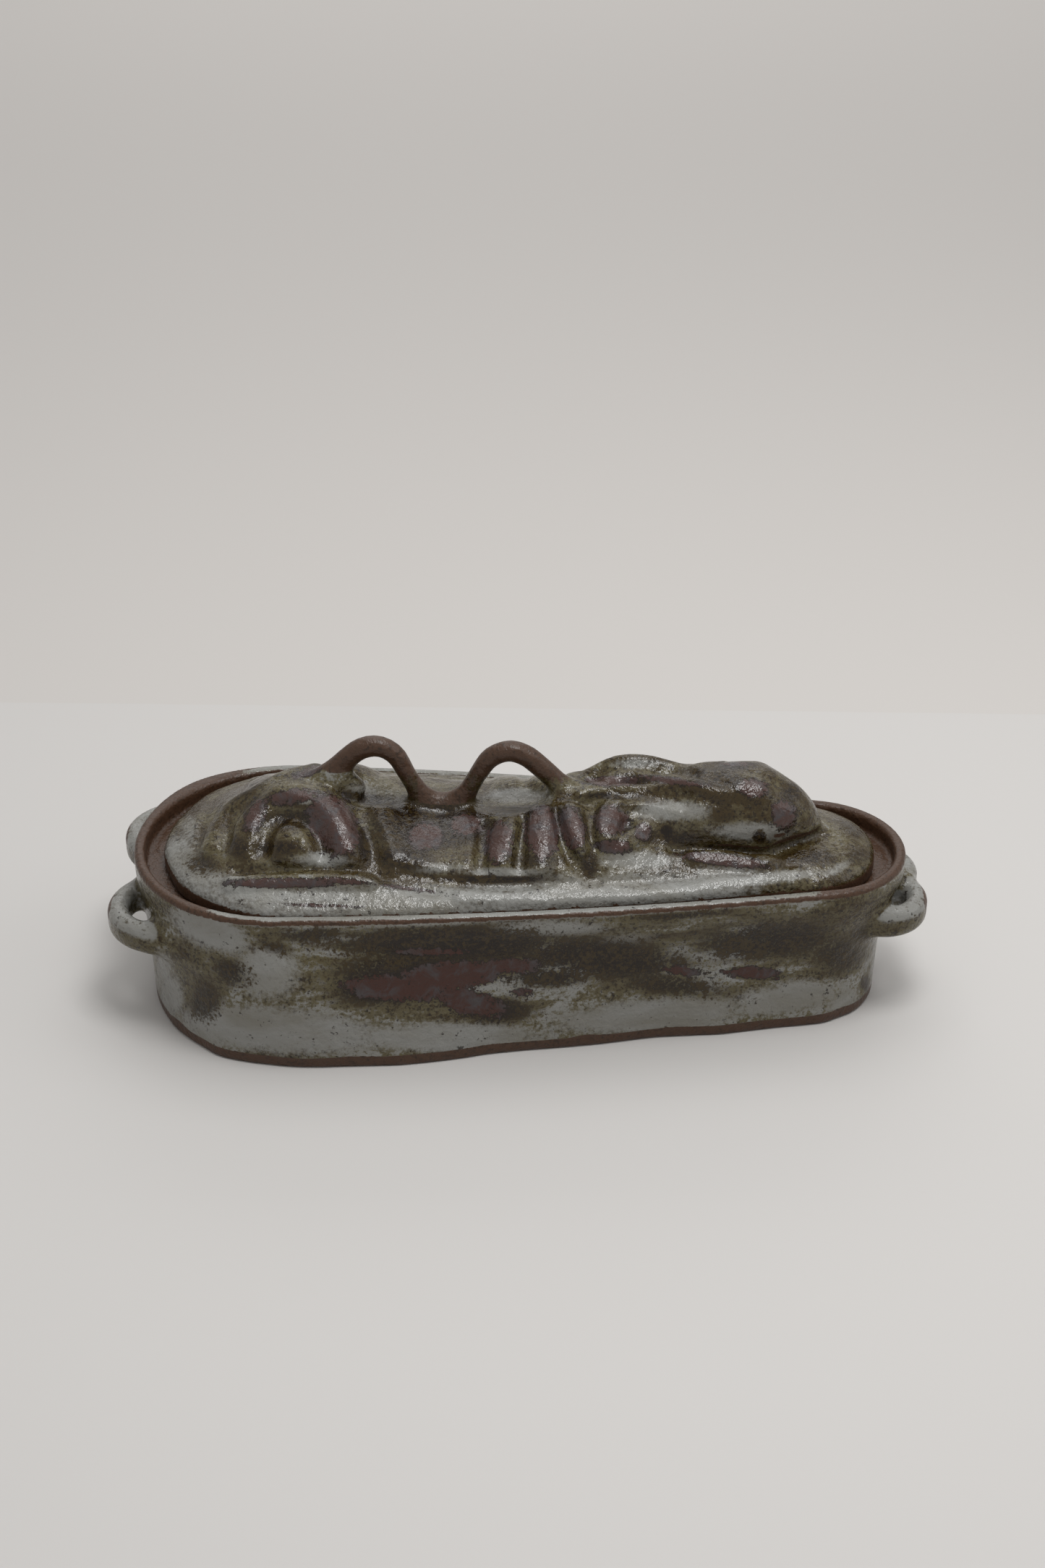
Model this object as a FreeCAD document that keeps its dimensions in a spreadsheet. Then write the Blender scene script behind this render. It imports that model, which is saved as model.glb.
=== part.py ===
import FreeCAD, Part
import math
import os
import Sketcher

# A lidded oval stoneware terrine, wide at the rump end of the hare on its lid and narrow at the head end.
# X runs along the dish towards the hare's head, Y towards the back, Z up.
# The origin lies on the table, under the middle of the dish's length.

SIZES = {
    # Pot
    "rim_length": 360.0,
    "rim_wide_end": 72.2,
    "rim_narrow_end": 43.9,
    "rim_side": 1530.0,
    "rim_height": 74.2,
    "rim_band": 7.0,
    "overhang_wide": 4.7,
    "overhang_narrow": 10.9,
    "foot_wide_end": 80.0,
    "foot_narrow_end": 39.3,
    "foot_side": 7000.0,
    "wall": 8.0,
    "floor": 9.0,
    "floor_corner": 10.0,
    "floor_inset": 3.0,
    "lip": 5.8,
    "lip_round": 2.6,
    "foot_round": 1.8,
    # Gallery that carries the lid
    "gallery_depth": 8.2,
    "ledge_side": 8.0,
    "ledge_end": 16.0,
    "ledge_thickness": 8.0,
    "lid_side_play": 1.8,
    "lid_end_play": 9.2,
    # Lug handles, each a strap bent in one bow
    "strap_thickness": 7.5,
    "strap_height": 14.0,
    "wide_bow": 23.2,
    "front_wide_reach": 15.3,
    "front_wide_turn": -24.0,
    "front_wide_level": 48.0,
    "back_wide_reach": 16.8,
    "back_wide_turn": 27.0,
    "back_wide_level": 56.0,
    "narrow_bow": 17.4,
    "narrow_reach": 11.4,
    "front_narrow_turn": -18.0,
    "back_narrow_turn": 24.0,
    "narrow_level": 49.5,
    # Lid
    "lid_edge": 7.8,
    "lid_round": 3.0,
    "dome_rise": 8.0,
    "dome_shoulder": 20.0,
    "lid_wall": 9.0,
    "back_wall": 13.0,
    "lid_flange": 11.0,
    "hollow_slope": 6.0,
    # Hare's trunk: gap to the lid's nearer end, or place at the middle, half width and height above the lid's edge
    "tail_gap": 18.0,
    "tail_half": 20.0,
    "tail_rise": 6.0,
    "croup_gap": 31.0,
    "croup_half": 34.0,
    "croup_rise": 17.0,
    "rump_gap": 53.0,
    "rump_half": 43.0,
    "rump_rise": 28.0,
    "loin_gap": 77.0,
    "loin_half": 48.0,
    "loin_rise": 30.0,
    "waist_place": -36.0,
    "waist_half": 47.0,
    "waist_rise": 16.0,
    "chest_place": 2.0,
    "chest_half": 45.0,
    "chest_rise": 24.5,
    "shoulder_gap": 131.0,
    "shoulder_half": 42.0,
    "shoulder_rise": 28.0,
    "neck_gap": 93.0,
    "neck_half": 31.0,
    "neck_rise": 18.0,
    "paw_gap": 53.0,
    "paw_half": 22.0,
    "paw_rise": 5.0,
    # Hare's head: gap to the lid's narrow end, half width, half depth and top above the lid's edge
    "spine_offset": -1.0,
    "nape_gap": 119.0,
    "nape_half": 14.0,
    "nape_deep": 9.0,
    "nape_top": 25.0,
    "crown_gap": 77.0,
    "crown_half": 22.0,
    "crown_deep": 19.0,
    "crown_top": 39.5,
    "brow_gap": 57.0,
    "brow_half": 21.5,
    "brow_deep": 20.0,
    "brow_top": 41.0,
    "muzzle_gap": 39.0,
    "muzzle_half": 15.0,
    "muzzle_deep": 15.0,
    "muzzle_top": 32.5,
    "nose_gap": 26.0,
    "head_hollow_gap": 71.0,
    "nose_half": 8.0,
    "nose_deep": 7.0,
    "nose_top": 19.0,
    # Carved ridges
    "ridge_lean": 31.0,
    "ridge_roll": 13.0,
    "haunch_gap": 61.2,
    "haunch_offset": 37.0,
    "haunch_level": 13.0,
    "haunch_start": -20.0,
    "haunch_radius": 26.0,
    "haunch_ridge": 6.0,
    "haunch_sweep": 190.0,
    "flank_gap": 70.7,
    "flank_offset": 40.0,
    "flank_level": 8.9,
    "flank_radius": 52.0,
    "flank_ridge": 4.5,
    "flank_start": 90.0,
    "flank_sweep": 70.0,
    "back_drop": 6.0,
    "knee_gap": 63.2,
    "knee_level": 16.6,
    "knee_depth": 7.2,
    "knee_length": 15.0,
    "knee_round": 9.0,
    "rib_count": 5.0,
    "rib_start": -8.0,
    "rib_pitch": 15.5,
    "rib_length": 17.0,
    "rib_width": 7.4,
    "rib_depth": 5.0,
    "rib_lean": 27.0,
    "rib_fan": 7.0,
    "rib_offset": 27.0,
    "rib_level": 17.0,
    "ear_length": 36.0,
    "ear_width": 8.5,
    "ear_depth": 10.0,
    "ear_spread": 17.0,
    "ear_gap": 109.0,
    "ear_offset": 3.0,
    "front_ear_level": 27.0,
    "back_ear_level": 29.5,
    "ear_turn": 4.0,
    "foreleg_gap": 75.0,
    "foreleg_offset": 28.0,
    "foreleg_length": 26.0,
    "foreleg_round": 6.5,
    "foreleg_level": 6.0,
    "foreleg_turn": 3.0,
    "hind_foot_gap": 77.0,
    "hind_foot_offset": 48.0,
    "hind_foot_length": 44.0,
    "hind_foot_round": 5.5,
    "hind_foot_level": 4.8,
    "hind_foot_turn": 4.0,
    # Coil handle on the hare's back
    "coil": 10.5,
    "coil_offset": 3.0,
    "arch_middle": -35.5,
    "arch_spacing": 62.4,
    "arch_height": 54.0,
    "arch_bend": 13.0,
    "saddle_bend": 16.5,
    "inner_slope": 70.0,
    "outer_slope": 45.0,
    "foot_length": 27.0,
    "scoop_length": 21.0,
    "scoop_half": 17.0,
    "scoop_deep": 10.0,
    "scoop_level": 29.0,
}

doc = FreeCAD.newDocument("Terrine")
sheet = doc.addObject("Spreadsheet::Sheet", "Sizes")
for row, (alias, value) in enumerate(SIZES.items(), start=1):
    sheet.set(f"A{row}", alias)
    sheet.set(f"B{row}", str(value))
    sheet.setAlias(f"B{row}", alias)
doc.recompute()


class Formula:
    """A size worked out from the sheet: the expression and its present value, kept side by side."""

    def __init__(self, text, value):
        self.text = text
        self.value = value

    def joined(self, sign, other, value):
        right = other.text if isinstance(other, Formula) else repr(float(other))
        return Formula(f"({self.text} {sign} {right})", value)

    def __add__(self, other):
        return self.joined("+", other, self.value + number(other))

    def __sub__(self, other):
        return self.joined("-", other, self.value - number(other))

    def __mul__(self, other):
        return self.joined("*", other, self.value * number(other))

    def __truediv__(self, other):
        return self.joined("/", other, self.value / number(other))

    def __neg__(self):
        return Formula(f"(0 - {self.text})", -self.value)


def number(size):
    return size.value if isinstance(size, Formula) else float(size)


def cell(alias):
    return Formula(f"Sizes.{alias}", float(sheet.get(alias)))


def between(start, end, share):
    return start + (end - start) * share


def bind(thing, name, size):
    """Ties a property to the sheet where its size comes from there, or sets it."""
    if isinstance(size, Formula):
        thing.setExpression(name, size.text)
    else:
        setattr(thing, name, size)


def plane_of(body, role):
    return next(feature for feature in body.Origin.OriginFeatures if feature.Role == role)


def add_sketch(body, name, role, offset):
    sketch = body.newObject("Sketcher::SketchObject", name)
    sketch.AttachmentSupport = [(plane_of(body, role), "")]
    sketch.MapMode = "FlatFace"
    sketch.AttachmentOffset = offset
    return sketch


def dimension(sketch, kind, places, name, size):
    index = sketch.addConstraint(Sketcher.Constraint(kind, *places, number(size)))
    sketch.renameConstraint(index, name)
    if isinstance(size, Formula):
        sketch.setExpression(f"Constraints.{name}", size.text)


# Four-arc ovals


class Oval:
    """An egg-shaped outline: a wide end on the left, a narrow end on the right and two shallow sides."""

    def __init__(self, left, right, wide, narrow, side):
        self.left = left
        self.right = right
        self.wide = wide
        self.narrow = narrow
        self.side = side

    def inset(self, sides, ends):
        return Oval(
            self.left - ends,
            self.right - ends,
            self.wide - sides,
            self.narrow - sides,
            self.side - sides,
        )

    def towards(self, other, share):
        return Oval(
            between(self.left, other.left, share),
            between(self.right, other.right, share),
            between(self.wide, other.wide, share),
            between(self.narrow, other.narrow, share),
            between(self.side, other.side, share),
        )

    def sketch(self, body, name, level=None):
        """Four tangent arcs, counter-clockwise from the wide end, on the table or at a level above it."""
        sketch = add_sketch(body, name, "XY_Plane", FreeCAD.Placement())
        if level:
            bind(sketch, "AttachmentOffset.Base.z", level)
        wide_centre = self.left - self.wide
        narrow_centre = self.right - self.narrow
        wide, narrow, side = number(self.wide), number(self.narrow), number(self.side)
        near, far = -number(wide_centre), number(narrow_centre)
        middle = ((side - wide) ** 2 - (side - narrow) ** 2 + far**2 - near**2) / (2 * (far - near))
        depth = math.sqrt((side - wide) ** 2 - (near - middle) ** 2)
        wide_turn = math.atan2(depth, near - middle)
        narrow_turn = math.atan2(depth, far - middle)

        def arc(x, y, radius, start, end):
            circle = Part.Circle(FreeCAD.Vector(x, y, 0), FreeCAD.Vector(0, 0, 1), radius)
            sketch.addGeometry(Part.ArcOfCircle(circle, start, end))

        arc(near, 0, wide, wide_turn, 2 * math.pi - wide_turn)
        arc(middle, depth, side, -wide_turn, -narrow_turn)
        arc(far, 0, narrow, -narrow_turn, narrow_turn)
        arc(middle, -depth, side, narrow_turn, wide_turn)
        for first in range(4):
            sketch.addConstraint(Sketcher.Constraint("Tangent", first, 2, (first + 1) % 4, 1))
        sketch.addConstraint(Sketcher.Constraint("PointOnObject", 0, 3, -1))
        sketch.addConstraint(Sketcher.Constraint("PointOnObject", 2, 3, -1))
        sketch.addConstraint(Sketcher.Constraint("Equal", 1, 3))
        dimension(sketch, "DistanceX", (0, 3, -1, 1), "wide_centre", wide_centre)
        dimension(sketch, "DistanceX", (-1, 1, 2, 3), "narrow_centre", narrow_centre)
        dimension(sketch, "Radius", (0,), "wide_end", self.wide)
        dimension(sketch, "Radius", (2,), "narrow_end", self.narrow)
        dimension(sketch, "Radius", (1,), "side", self.side)
        return sketch


def loft(body, name, kind, sections, ruled=False):
    feature = body.newObject(f"PartDesign::{kind}Loft", name)
    feature.Profile = sections[0]
    feature.Sections = sections[1:]
    feature.Ruled = ruled
    return feature


def pocket(body, name, sketch, depth):
    """A pocket cut downwards from its sketch."""
    feature = body.newObject("PartDesign::Pocket", name)
    feature.Profile = sketch
    feature.Type = 0
    bind(feature, "Length", depth)
    return feature


def edges_at(shape, level):
    """Names of the edges that lie flat at a level."""
    names = []
    for index, edge in enumerate(shape.Edges, start=1):
        ends = edge.BoundBox.ZMin, edge.BoundBox.ZMax
        if max(abs(end - level) for end in ends) < 0.01:
            names.append(f"Edge{index}")
    return names


def fillet(body, name, base, edges, radius):
    feature = body.newObject("PartDesign::Fillet", name)
    feature.Base = (base, edges)
    bind(feature, "Radius", radius)
    return feature


half_rim = cell("rim_length") / 2
rim = Oval(half_rim, half_rim, cell("rim_wide_end"), cell("rim_narrow_end"), cell("rim_side"))
foot = Oval(
    half_rim - cell("overhang_wide"),
    half_rim - cell("overhang_narrow"),
    cell("foot_wide_end"),
    cell("foot_narrow_end"),
    cell("foot_side"),
)
mouth = rim.inset(cell("lip"), cell("lip"))
throat = mouth.inset(cell("ledge_side"), cell("ledge_end"))
lid_outline = mouth.inset(cell("lid_side_play"), cell("lid_end_play"))
ledge_level = cell("rim_height") - cell("gallery_depth")
lid_level = ledge_level + cell("lid_edge")

# How far the wall has flared from the foot's outline to the rim's, and how high up that is
waist_share = 0.12
hip_share = 0.4
waist_height_share = 0.6
shoulder_height_share = 0.72

# How high the dome has risen half way up its shoulder
dome_side_share = 0.7


def from_wide(name):
    """A place along the lid, measured from its wide end."""
    return cell(name) - lid_outline.left


def from_narrow(name):
    """A place along the lid, measured from its narrow end."""
    return lid_outline.right - cell(name)


# Bent straps and coils


def draw_arc(sketch, x, y, radius, start, end):
    """An arc given by its centre, radius, and start and end in degrees, counter-clockwise."""
    circle = Part.Circle(FreeCAD.Vector(x, y, 0), FreeCAD.Vector(0, 0, 1), radius)
    return sketch.addGeometry(Part.ArcOfCircle(circle, math.radians(start), math.radians(end)))


def draw_line(sketch, start, end):
    return sketch.addGeometry(Part.LineSegment(FreeCAD.Vector(*start, 0), FreeCAD.Vector(*end, 0)))


def pipe(body, name, spine, profile):
    feature = body.newObject("PartDesign::AdditivePipe", name)
    feature.Profile = profile
    feature.Spine = (spine, [f"Edge{index + 1}" for index in range(spine.GeometryCount)])
    return feature


def strap_section(body, name, offset):
    """An upright rounded bar, straight on its two faces and round above and below."""
    sketch = add_sketch(body, name, "XZ_Plane", offset)
    round_radius = cell("strap_thickness") / 2
    round_level = cell("strap_height") / 2 - round_radius
    out, up = number(round_radius), number(round_level)
    draw_arc(sketch, 0, up, out, 0, 180)
    draw_line(sketch, (-out, up), (-out, -up))
    draw_arc(sketch, 0, -up, out, 180, 360)
    draw_line(sketch, (out, -up), (out, up))
    for first in range(4):
        sketch.addConstraint(Sketcher.Constraint("Tangent", first, 2, (first + 1) % 4, 1))
    sketch.addConstraint(Sketcher.Constraint("PointOnObject", 0, 3, -2))
    sketch.addConstraint(Sketcher.Constraint("PointOnObject", 2, 3, -2))
    sketch.addConstraint(Sketcher.Constraint("Equal", 0, 2))
    dimension(sketch, "DistanceY", (-1, 1, 0, 3), "upper_round", round_level)
    dimension(sketch, "DistanceY", (2, 3, -1, 1), "lower_round", round_level)
    dimension(sketch, "Radius", (0,), "round", round_radius)
    return sketch


def strap(body, name, side, end_radius, wall_radius, bow, reach, turn, level):
    """A strap round one end of the dish that leaves the wall, bows out and comes back to it.

    turn is the angle of its bow about the centre of the round end, from the way the end points, towards
    the back. side is 1 at the narrow end, which points along X, and -1 at the wide end."""
    thickness = number(cell("strap_thickness"))
    centre = number(half_rim) - end_radius
    bow_distance = end_radius + reach - thickness / 2 - bow
    buried = wall_radius - thickness / 2
    root = math.acos((buried**2 - bow_distance**2 - bow**2) / (2 * bow_distance * bow))
    lean = math.radians(turn)
    x = centre + bow_distance * math.cos(lean)
    y = bow_distance * math.sin(lean)
    start, end = lean - root, lean + root
    if side < 0:
        x = -x
        start, end = math.pi - end, math.pi - start
    spine = add_sketch(body, f"{name}_path", "XY_Plane", FreeCAD.Placement())
    bind(spine, "AttachmentOffset.Base.z", level)
    draw_arc(spine, x, y, bow, math.degrees(start), math.degrees(end))
    root_x = x + bow * math.cos(start)
    root_y = y + bow * math.sin(start)
    turned = FreeCAD.Rotation(FreeCAD.Vector(0, 1, 0), math.degrees(start))
    offset = FreeCAD.Placement(FreeCAD.Vector(root_x, 0, -root_y), turned)
    profile = strap_section(body, f"{name}_section", offset)
    bind(profile, "AttachmentOffset.Base.y", level)
    return pipe(body, name, spine, profile)


# The pot: a hollow oval wall with a band at its rim, lug straps, and a gallery inside the rim


def build_dish():
    body = doc.addObject("PartDesign::Body", "dish")
    height = cell("rim_height")
    band_level = height - cell("rim_band")
    shoulder_level = band_level * shoulder_height_share
    sections = [
        foot.sketch(body, "foot_outline"),
        foot.towards(rim, waist_share).sketch(body, "wall_outline", shoulder_level * waist_height_share),
        foot.towards(rim, hip_share).sketch(body, "shoulder_outline", shoulder_level),
        rim.sketch(body, "band_outline", band_level),
    ]
    loft(body, "wall", "Additive", sections)
    band = body.newObject("PartDesign::Pad", "rim_band")
    band.Profile = sections[3]
    bind(band, "Length", cell("rim_band"))
    for name in ("front_wide", "back_wide", "front_narrow", "back_narrow"):
        end = name.split("_")[1]
        wide = end == "wide"
        level = cell(f"{name}_level" if wide else "narrow_level")
        share = hip_share * min(number(level) / number(shoulder_level), 1)
        wall_side = foot.towards(rim, share)
        end_radius = number(rim.wide if wide else rim.narrow)
        inward = number(rim.left) - number(wall_side.left) if wide else number(rim.right) - number(wall_side.right)
        strap(
            body,
            f"{name}_strap",
            -1 if wide else 1,
            end_radius,
            end_radius - inward,
            number(cell(f"{end}_bow")),
            number(cell(f"{name}_reach" if wide else "narrow_reach")),
            number(cell(f"{name}_turn")),
            level,
        )
    mouth_sketch = mouth.sketch(body, "mouth_outline", height)
    pocket(body, "gallery", mouth_sketch, cell("gallery_depth"))
    wall = cell("wall")
    ledge_foot = ledge_level - cell("ledge_thickness")
    inner_low = foot.inset(wall, wall)
    inner_high = foot.towards(rim, hip_share).inset(wall, wall)
    corner_inset = cell("floor_inset")
    cavity = [
        inner_low.inset(corner_inset, corner_inset).sketch(body, "floor_outline", cell("floor")),
        inner_low.sketch(body, "floor_corner_outline", cell("floor") + cell("floor_corner")),
        inner_high.sketch(body, "hip_outline", ledge_foot - cell("ledge_thickness")),
        throat.sketch(body, "throat_foot_outline", ledge_foot),
        throat.sketch(body, "throat_outline", ledge_level),
    ]
    loft(body, "cavity", "Subtractive", cavity, ruled=True)
    doc.recompute()
    lip_edges = edges_at(body.Shape, number(height))
    lip = fillet(body, "lip_round", body.Tip, lip_edges, cell("lip_round"))
    doc.recompute()
    fillet(body, "foot_round", lip, edges_at(body.Shape, 0), cell("foot_round"))
    doc.recompute()
    return body


# The lid: a domed plate that sits in the gallery


def build_plate():
    body = doc.addObject("PartDesign::Body", "lid_plate")
    plate = body.newObject("PartDesign::Pad", "plate")
    plate.Profile = lid_outline.sketch(body, "lid_outline", ledge_level)
    bind(plate, "Length", cell("lid_edge"))
    doc.recompute()
    rim_edges = edges_at(plate.Shape, number(lid_level))
    fillet(body, "plate_round", plate, rim_edges, cell("lid_round"))
    shoulder = cell("dome_shoulder")
    rise = cell("dome_rise")
    sections = [
        lid_outline.inset(cell("lid_round"), cell("lid_round")).sketch(body, "dome_foot", ledge_level),
        lid_outline.inset(cell("lid_round"), cell("lid_round")).sketch(body, "dome_edge", lid_level),
        lid_outline.inset(shoulder / 2, shoulder / 2).sketch(body, "dome_side", lid_level + rise * dome_side_share),
        lid_outline.inset(shoulder, shoulder).sketch(body, "dome_top", lid_level + rise),
    ]
    loft(body, "dome", "Additive", sections, ruled=True)
    doc.recompute()
    return body


# The hare, built from lofts through upright ellipses and from carved ridges

UPRIGHT = FreeCAD.Rotation(FreeCAD.Vector(1, 1, 1), 120)


def ellipse(name, place, middle, level, half_width, half_height):
    """An ellipse across the lid, with its width along Y and its height along Z."""
    section = doc.addObject("Part::Ellipse", name)
    section.Placement = FreeCAD.Placement(FreeCAD.Vector(0, 0, 0), UPRIGHT)
    bind(section, "MajorRadius", half_width)
    bind(section, "MinorRadius", half_height)
    bind(section, "Placement.Base.x", place)
    bind(section, "Placement.Base.y", middle)
    bind(section, "Placement.Base.z", level)
    return section


def through(name, sections):
    feature = doc.addObject("Part::Loft", name)
    feature.Sections = sections
    feature.Solid = True
    feature.Ruled = False
    return feature


def ellipsoid(name, centre, along, across, upright, rotation):
    """An ellipsoid with its three radii along its own X, Y and Z."""
    solid = doc.addObject("Part::Ellipsoid", name)
    solid.Angle1 = -90
    solid.Angle2 = 90
    solid.Angle3 = 360
    solid.Placement = FreeCAD.Placement(FreeCAD.Vector(0, 0, 0), rotation)
    bind(solid, "Radius2", along)
    bind(solid, "Radius3", across)
    bind(solid, "Radius1", upright)
    for axis, size in zip("xyz", centre):
        bind(solid, f"Placement.Base.{axis}", size)
    return solid


def spin(axis, angle):
    return FreeCAD.Rotation(FreeCAD.Vector(*axis), angle)


def ring_segment(name, centre, radius, ridge, sweep, rotation):
    solid = doc.addObject("Part::Torus", name)
    solid.Placement = FreeCAD.Placement(FreeCAD.Vector(0, 0, 0), rotation)
    bind(solid, "Radius1", radius)
    bind(solid, "Radius2", ridge)
    bind(solid, "Angle3", sweep)
    for axis, size in zip("xyz", centre):
        bind(solid, f"Placement.Base.{axis}", size)
    return solid


TRUNK = {
    "tail": from_wide("tail_gap"),
    "croup": from_wide("croup_gap"),
    "rump": from_wide("rump_gap"),
    "loin": from_wide("loin_gap"),
    "waist": cell("waist_place"),
    "chest": cell("chest_place"),
    "shoulder": from_narrow("shoulder_gap"),
    "neck": from_narrow("neck_gap"),
    "paw": from_narrow("paw_gap"),
}
HEAD = ("nape", "crown", "brow", "muzzle", "nose")


def build_hare():
    spine = cell("spine_offset")
    trunk = through(
        "trunk",
        [
            ellipse(
                f"{name}_section",
                place,
                spine,
                lid_level,
                cell(f"{name}_half"),
                cell(f"{name}_rise"),
            )
            for name, place in TRUNK.items()
        ],
    )
    head = through(
        "head",
        [
            ellipse(
                f"{name}_section",
                from_narrow(f"{name}_gap"),
                spine,
                lid_level + cell(f"{name}_top") - cell(f"{name}_deep"),
                cell(f"{name}_half"),
                cell(f"{name}_deep"),
            )
            for name in HEAD
        ],
    )
    return [trunk, head]


def carving(side):
    """The ridges carved on one flank: 1 is the back one, which lies lower, and -1 the front one."""
    spine = cell("spine_offset")
    lean = spin((1, 0, 0), -side * number(cell("ridge_lean")))
    roll = spin((0, 1, 0), -number(cell("ridge_roll")))
    name = "front" if side < 0 else "back"
    drop = cell("back_drop") * (1.0 if side > 0 else 0.0)

    def ridge(part, place):
        """A thigh or flank ridge: part of a ring that leans on the flank."""
        start = number(cell(f"{part}_start"))
        sweep = cell(f"{part}_sweep")
        turn = start if side < 0 else -start - sweep.value
        centre = (
            place,
            spine + cell(f"{part}_offset") * side,
            lid_level + cell(f"{part}_level") - drop,
        )
        radius = cell(f"{part}_radius")
        return ring_segment(
            f"{name}_{part}", centre, radius, cell(f"{part}_ridge"), sweep, roll * lean * spin((0, 0, 1), turn)
        )

    knee = ellipsoid(
        f"{name}_knee",
        (
            from_wide("knee_gap"),
            spine + cell("haunch_offset") * side,
            lid_level + cell("knee_level") - drop,
        ),
        cell("knee_length"),
        cell("knee_round"),
        cell("knee_depth"),
        lean,
    )
    ribs = []
    count = int(number(cell("rib_count")))
    for index in range(count):
        fan = side * (index - (count - 1) / 2) * number(cell("rib_fan"))
        ribs.append(
            ellipsoid(
                f"{name}_rib_{index + 1}",
                (
                    cell("rib_start") + cell("rib_pitch") * index,
                    spine + cell("rib_offset") * side,
                    lid_level + cell("rib_level"),
                ),
                cell("rib_width"),
                cell("rib_length"),
                cell("rib_depth"),
                spin((1, 0, 0), -side * number(cell("rib_lean"))) * spin((0, 0, 1), fan),
            )
        )
    ear = ellipsoid(
        f"{name}_ear",
        (
            from_narrow("ear_gap"),
            cell("ear_offset") + cell("ear_spread") * (side * 0.5),
            lid_level + cell(f"{name}_ear_level"),
        ),
        cell("ear_length"),
        cell("ear_width"),
        cell("ear_depth"),
        spin((0, 0, 1), -side * number(cell("ear_turn"))),
    )
    foreleg = ellipsoid(
        f"{name}_foreleg",
        (
            from_narrow("foreleg_gap"),
            spine + cell("foreleg_offset") * side,
            lid_level + cell("foreleg_level"),
        ),
        cell("foreleg_length"),
        cell("foreleg_round"),
        cell("foreleg_round"),
        spin((0, 0, 1), -side * number(cell("foreleg_turn"))),
    )
    hind_foot = ellipsoid(
        f"{name}_hind_foot",
        (
            from_wide("hind_foot_gap"),
            spine + cell("hind_foot_offset") * side,
            lid_level + cell("hind_foot_level"),
        ),
        cell("hind_foot_length"),
        cell("hind_foot_round"),
        cell("hind_foot_round"),
        spin((0, 0, 1), -side * number(cell("hind_foot_turn"))),
    )
    ridges = [ridge("haunch", from_wide("haunch_gap")), ridge("flank", from_wide("flank_gap"))]
    return ridges + [knee, ear, foreleg, hind_foot] + ribs


def scoops():
    """The hollows that let fingers under the two arches of the handle."""
    tools = []
    for name, sign in (("rump_scoop", -0.5), ("chest_scoop", 0.5)):
        tools.append(
            ellipsoid(
                name,
                (
                    cell("arch_middle") + cell("arch_spacing") * sign,
                    cell("coil_offset"),
                    lid_level + cell("scoop_level"),
                ),
                cell("scoop_length"),
                cell("scoop_half"),
                cell("scoop_deep"),
                FreeCAD.Rotation(),
            )
        )
    return tools


def build_handle():
    """A coil bent in two arches, with a saddle between them that rests on the hare's back."""
    body = doc.addObject("PartDesign::Body", "coil_handle")
    coil_radius = cell("coil") / 2
    crest = number(lid_level + cell("arch_height") - coil_radius)
    middle = number(cell("arch_middle"))
    half_spacing = number(cell("arch_spacing")) / 2
    bend = number(cell("arch_bend"))
    saddle_bend = number(cell("saddle_bend"))
    inner = math.radians(number(cell("inner_slope")))
    outer = math.radians(number(cell("outer_slope")))
    foot_length = number(cell("foot_length"))
    leg = (half_spacing - (bend + saddle_bend) * math.sin(inner)) / math.cos(inner)
    fall = (bend + saddle_bend) * (1 - math.cos(inner)) + leg * math.sin(inner)
    centre_level = crest - bend
    saddle_level = crest - fall + saddle_bend
    spine = add_sketch(body, "handle_path", "XZ_Plane", FreeCAD.Placement())
    bind(spine, "AttachmentOffset.Base.z", -cell("coil_offset"))

    def on_arch(sign, angle):
        """A point of an arch, at an angle from its crest, away from the saddle where positive."""
        x = middle + sign * (half_spacing + bend * math.sin(angle))
        return x, centre_level + bend * math.cos(angle)

    def foot(sign):
        x, level = on_arch(sign, outer)
        return x + sign * foot_length * math.cos(outer), level - foot_length * math.sin(outer)

    def saddle_end(sign):
        x = middle + sign * saddle_bend * math.sin(inner)
        return x, saddle_level - saddle_bend * math.cos(inner)

    inner_degrees, outer_degrees = math.degrees(inner), math.degrees(outer)
    draw_line(spine, foot(-1), on_arch(-1, outer))
    left, right = middle - half_spacing, middle + half_spacing
    draw_arc(spine, left, centre_level, bend, 90 - inner_degrees, 90 + outer_degrees)
    draw_line(spine, on_arch(-1, -inner), saddle_end(-1))
    draw_arc(spine, middle, saddle_level, saddle_bend, 270 - inner_degrees, 270 + inner_degrees)
    draw_line(spine, saddle_end(1), on_arch(1, -inner))
    draw_arc(spine, right, centre_level, bend, 90 - outer_degrees, 90 + inner_degrees)
    draw_line(spine, on_arch(1, outer), foot(1))
    x, level = foot(-1)
    offset = FreeCAD.Placement(FreeCAD.Vector(0, level, x), spin((1, 0, 0), -outer_degrees))
    section = add_sketch(body, "coil_section", "YZ_Plane", offset)
    bind(section, "AttachmentOffset.Base.x", cell("coil_offset"))
    circle = Part.Circle(FreeCAD.Vector(0, 0, 0), FreeCAD.Vector(0, 0, 1), number(coil_radius))
    section.addGeometry(circle)
    section.addConstraint(Sketcher.Constraint("Coincident", 0, 3, -1, 1))
    dimension(section, "Radius", (0,), "coil_radius", coil_radius)
    pipe(body, "bent_coil", spine, section)
    doc.recompute()
    return body


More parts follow.
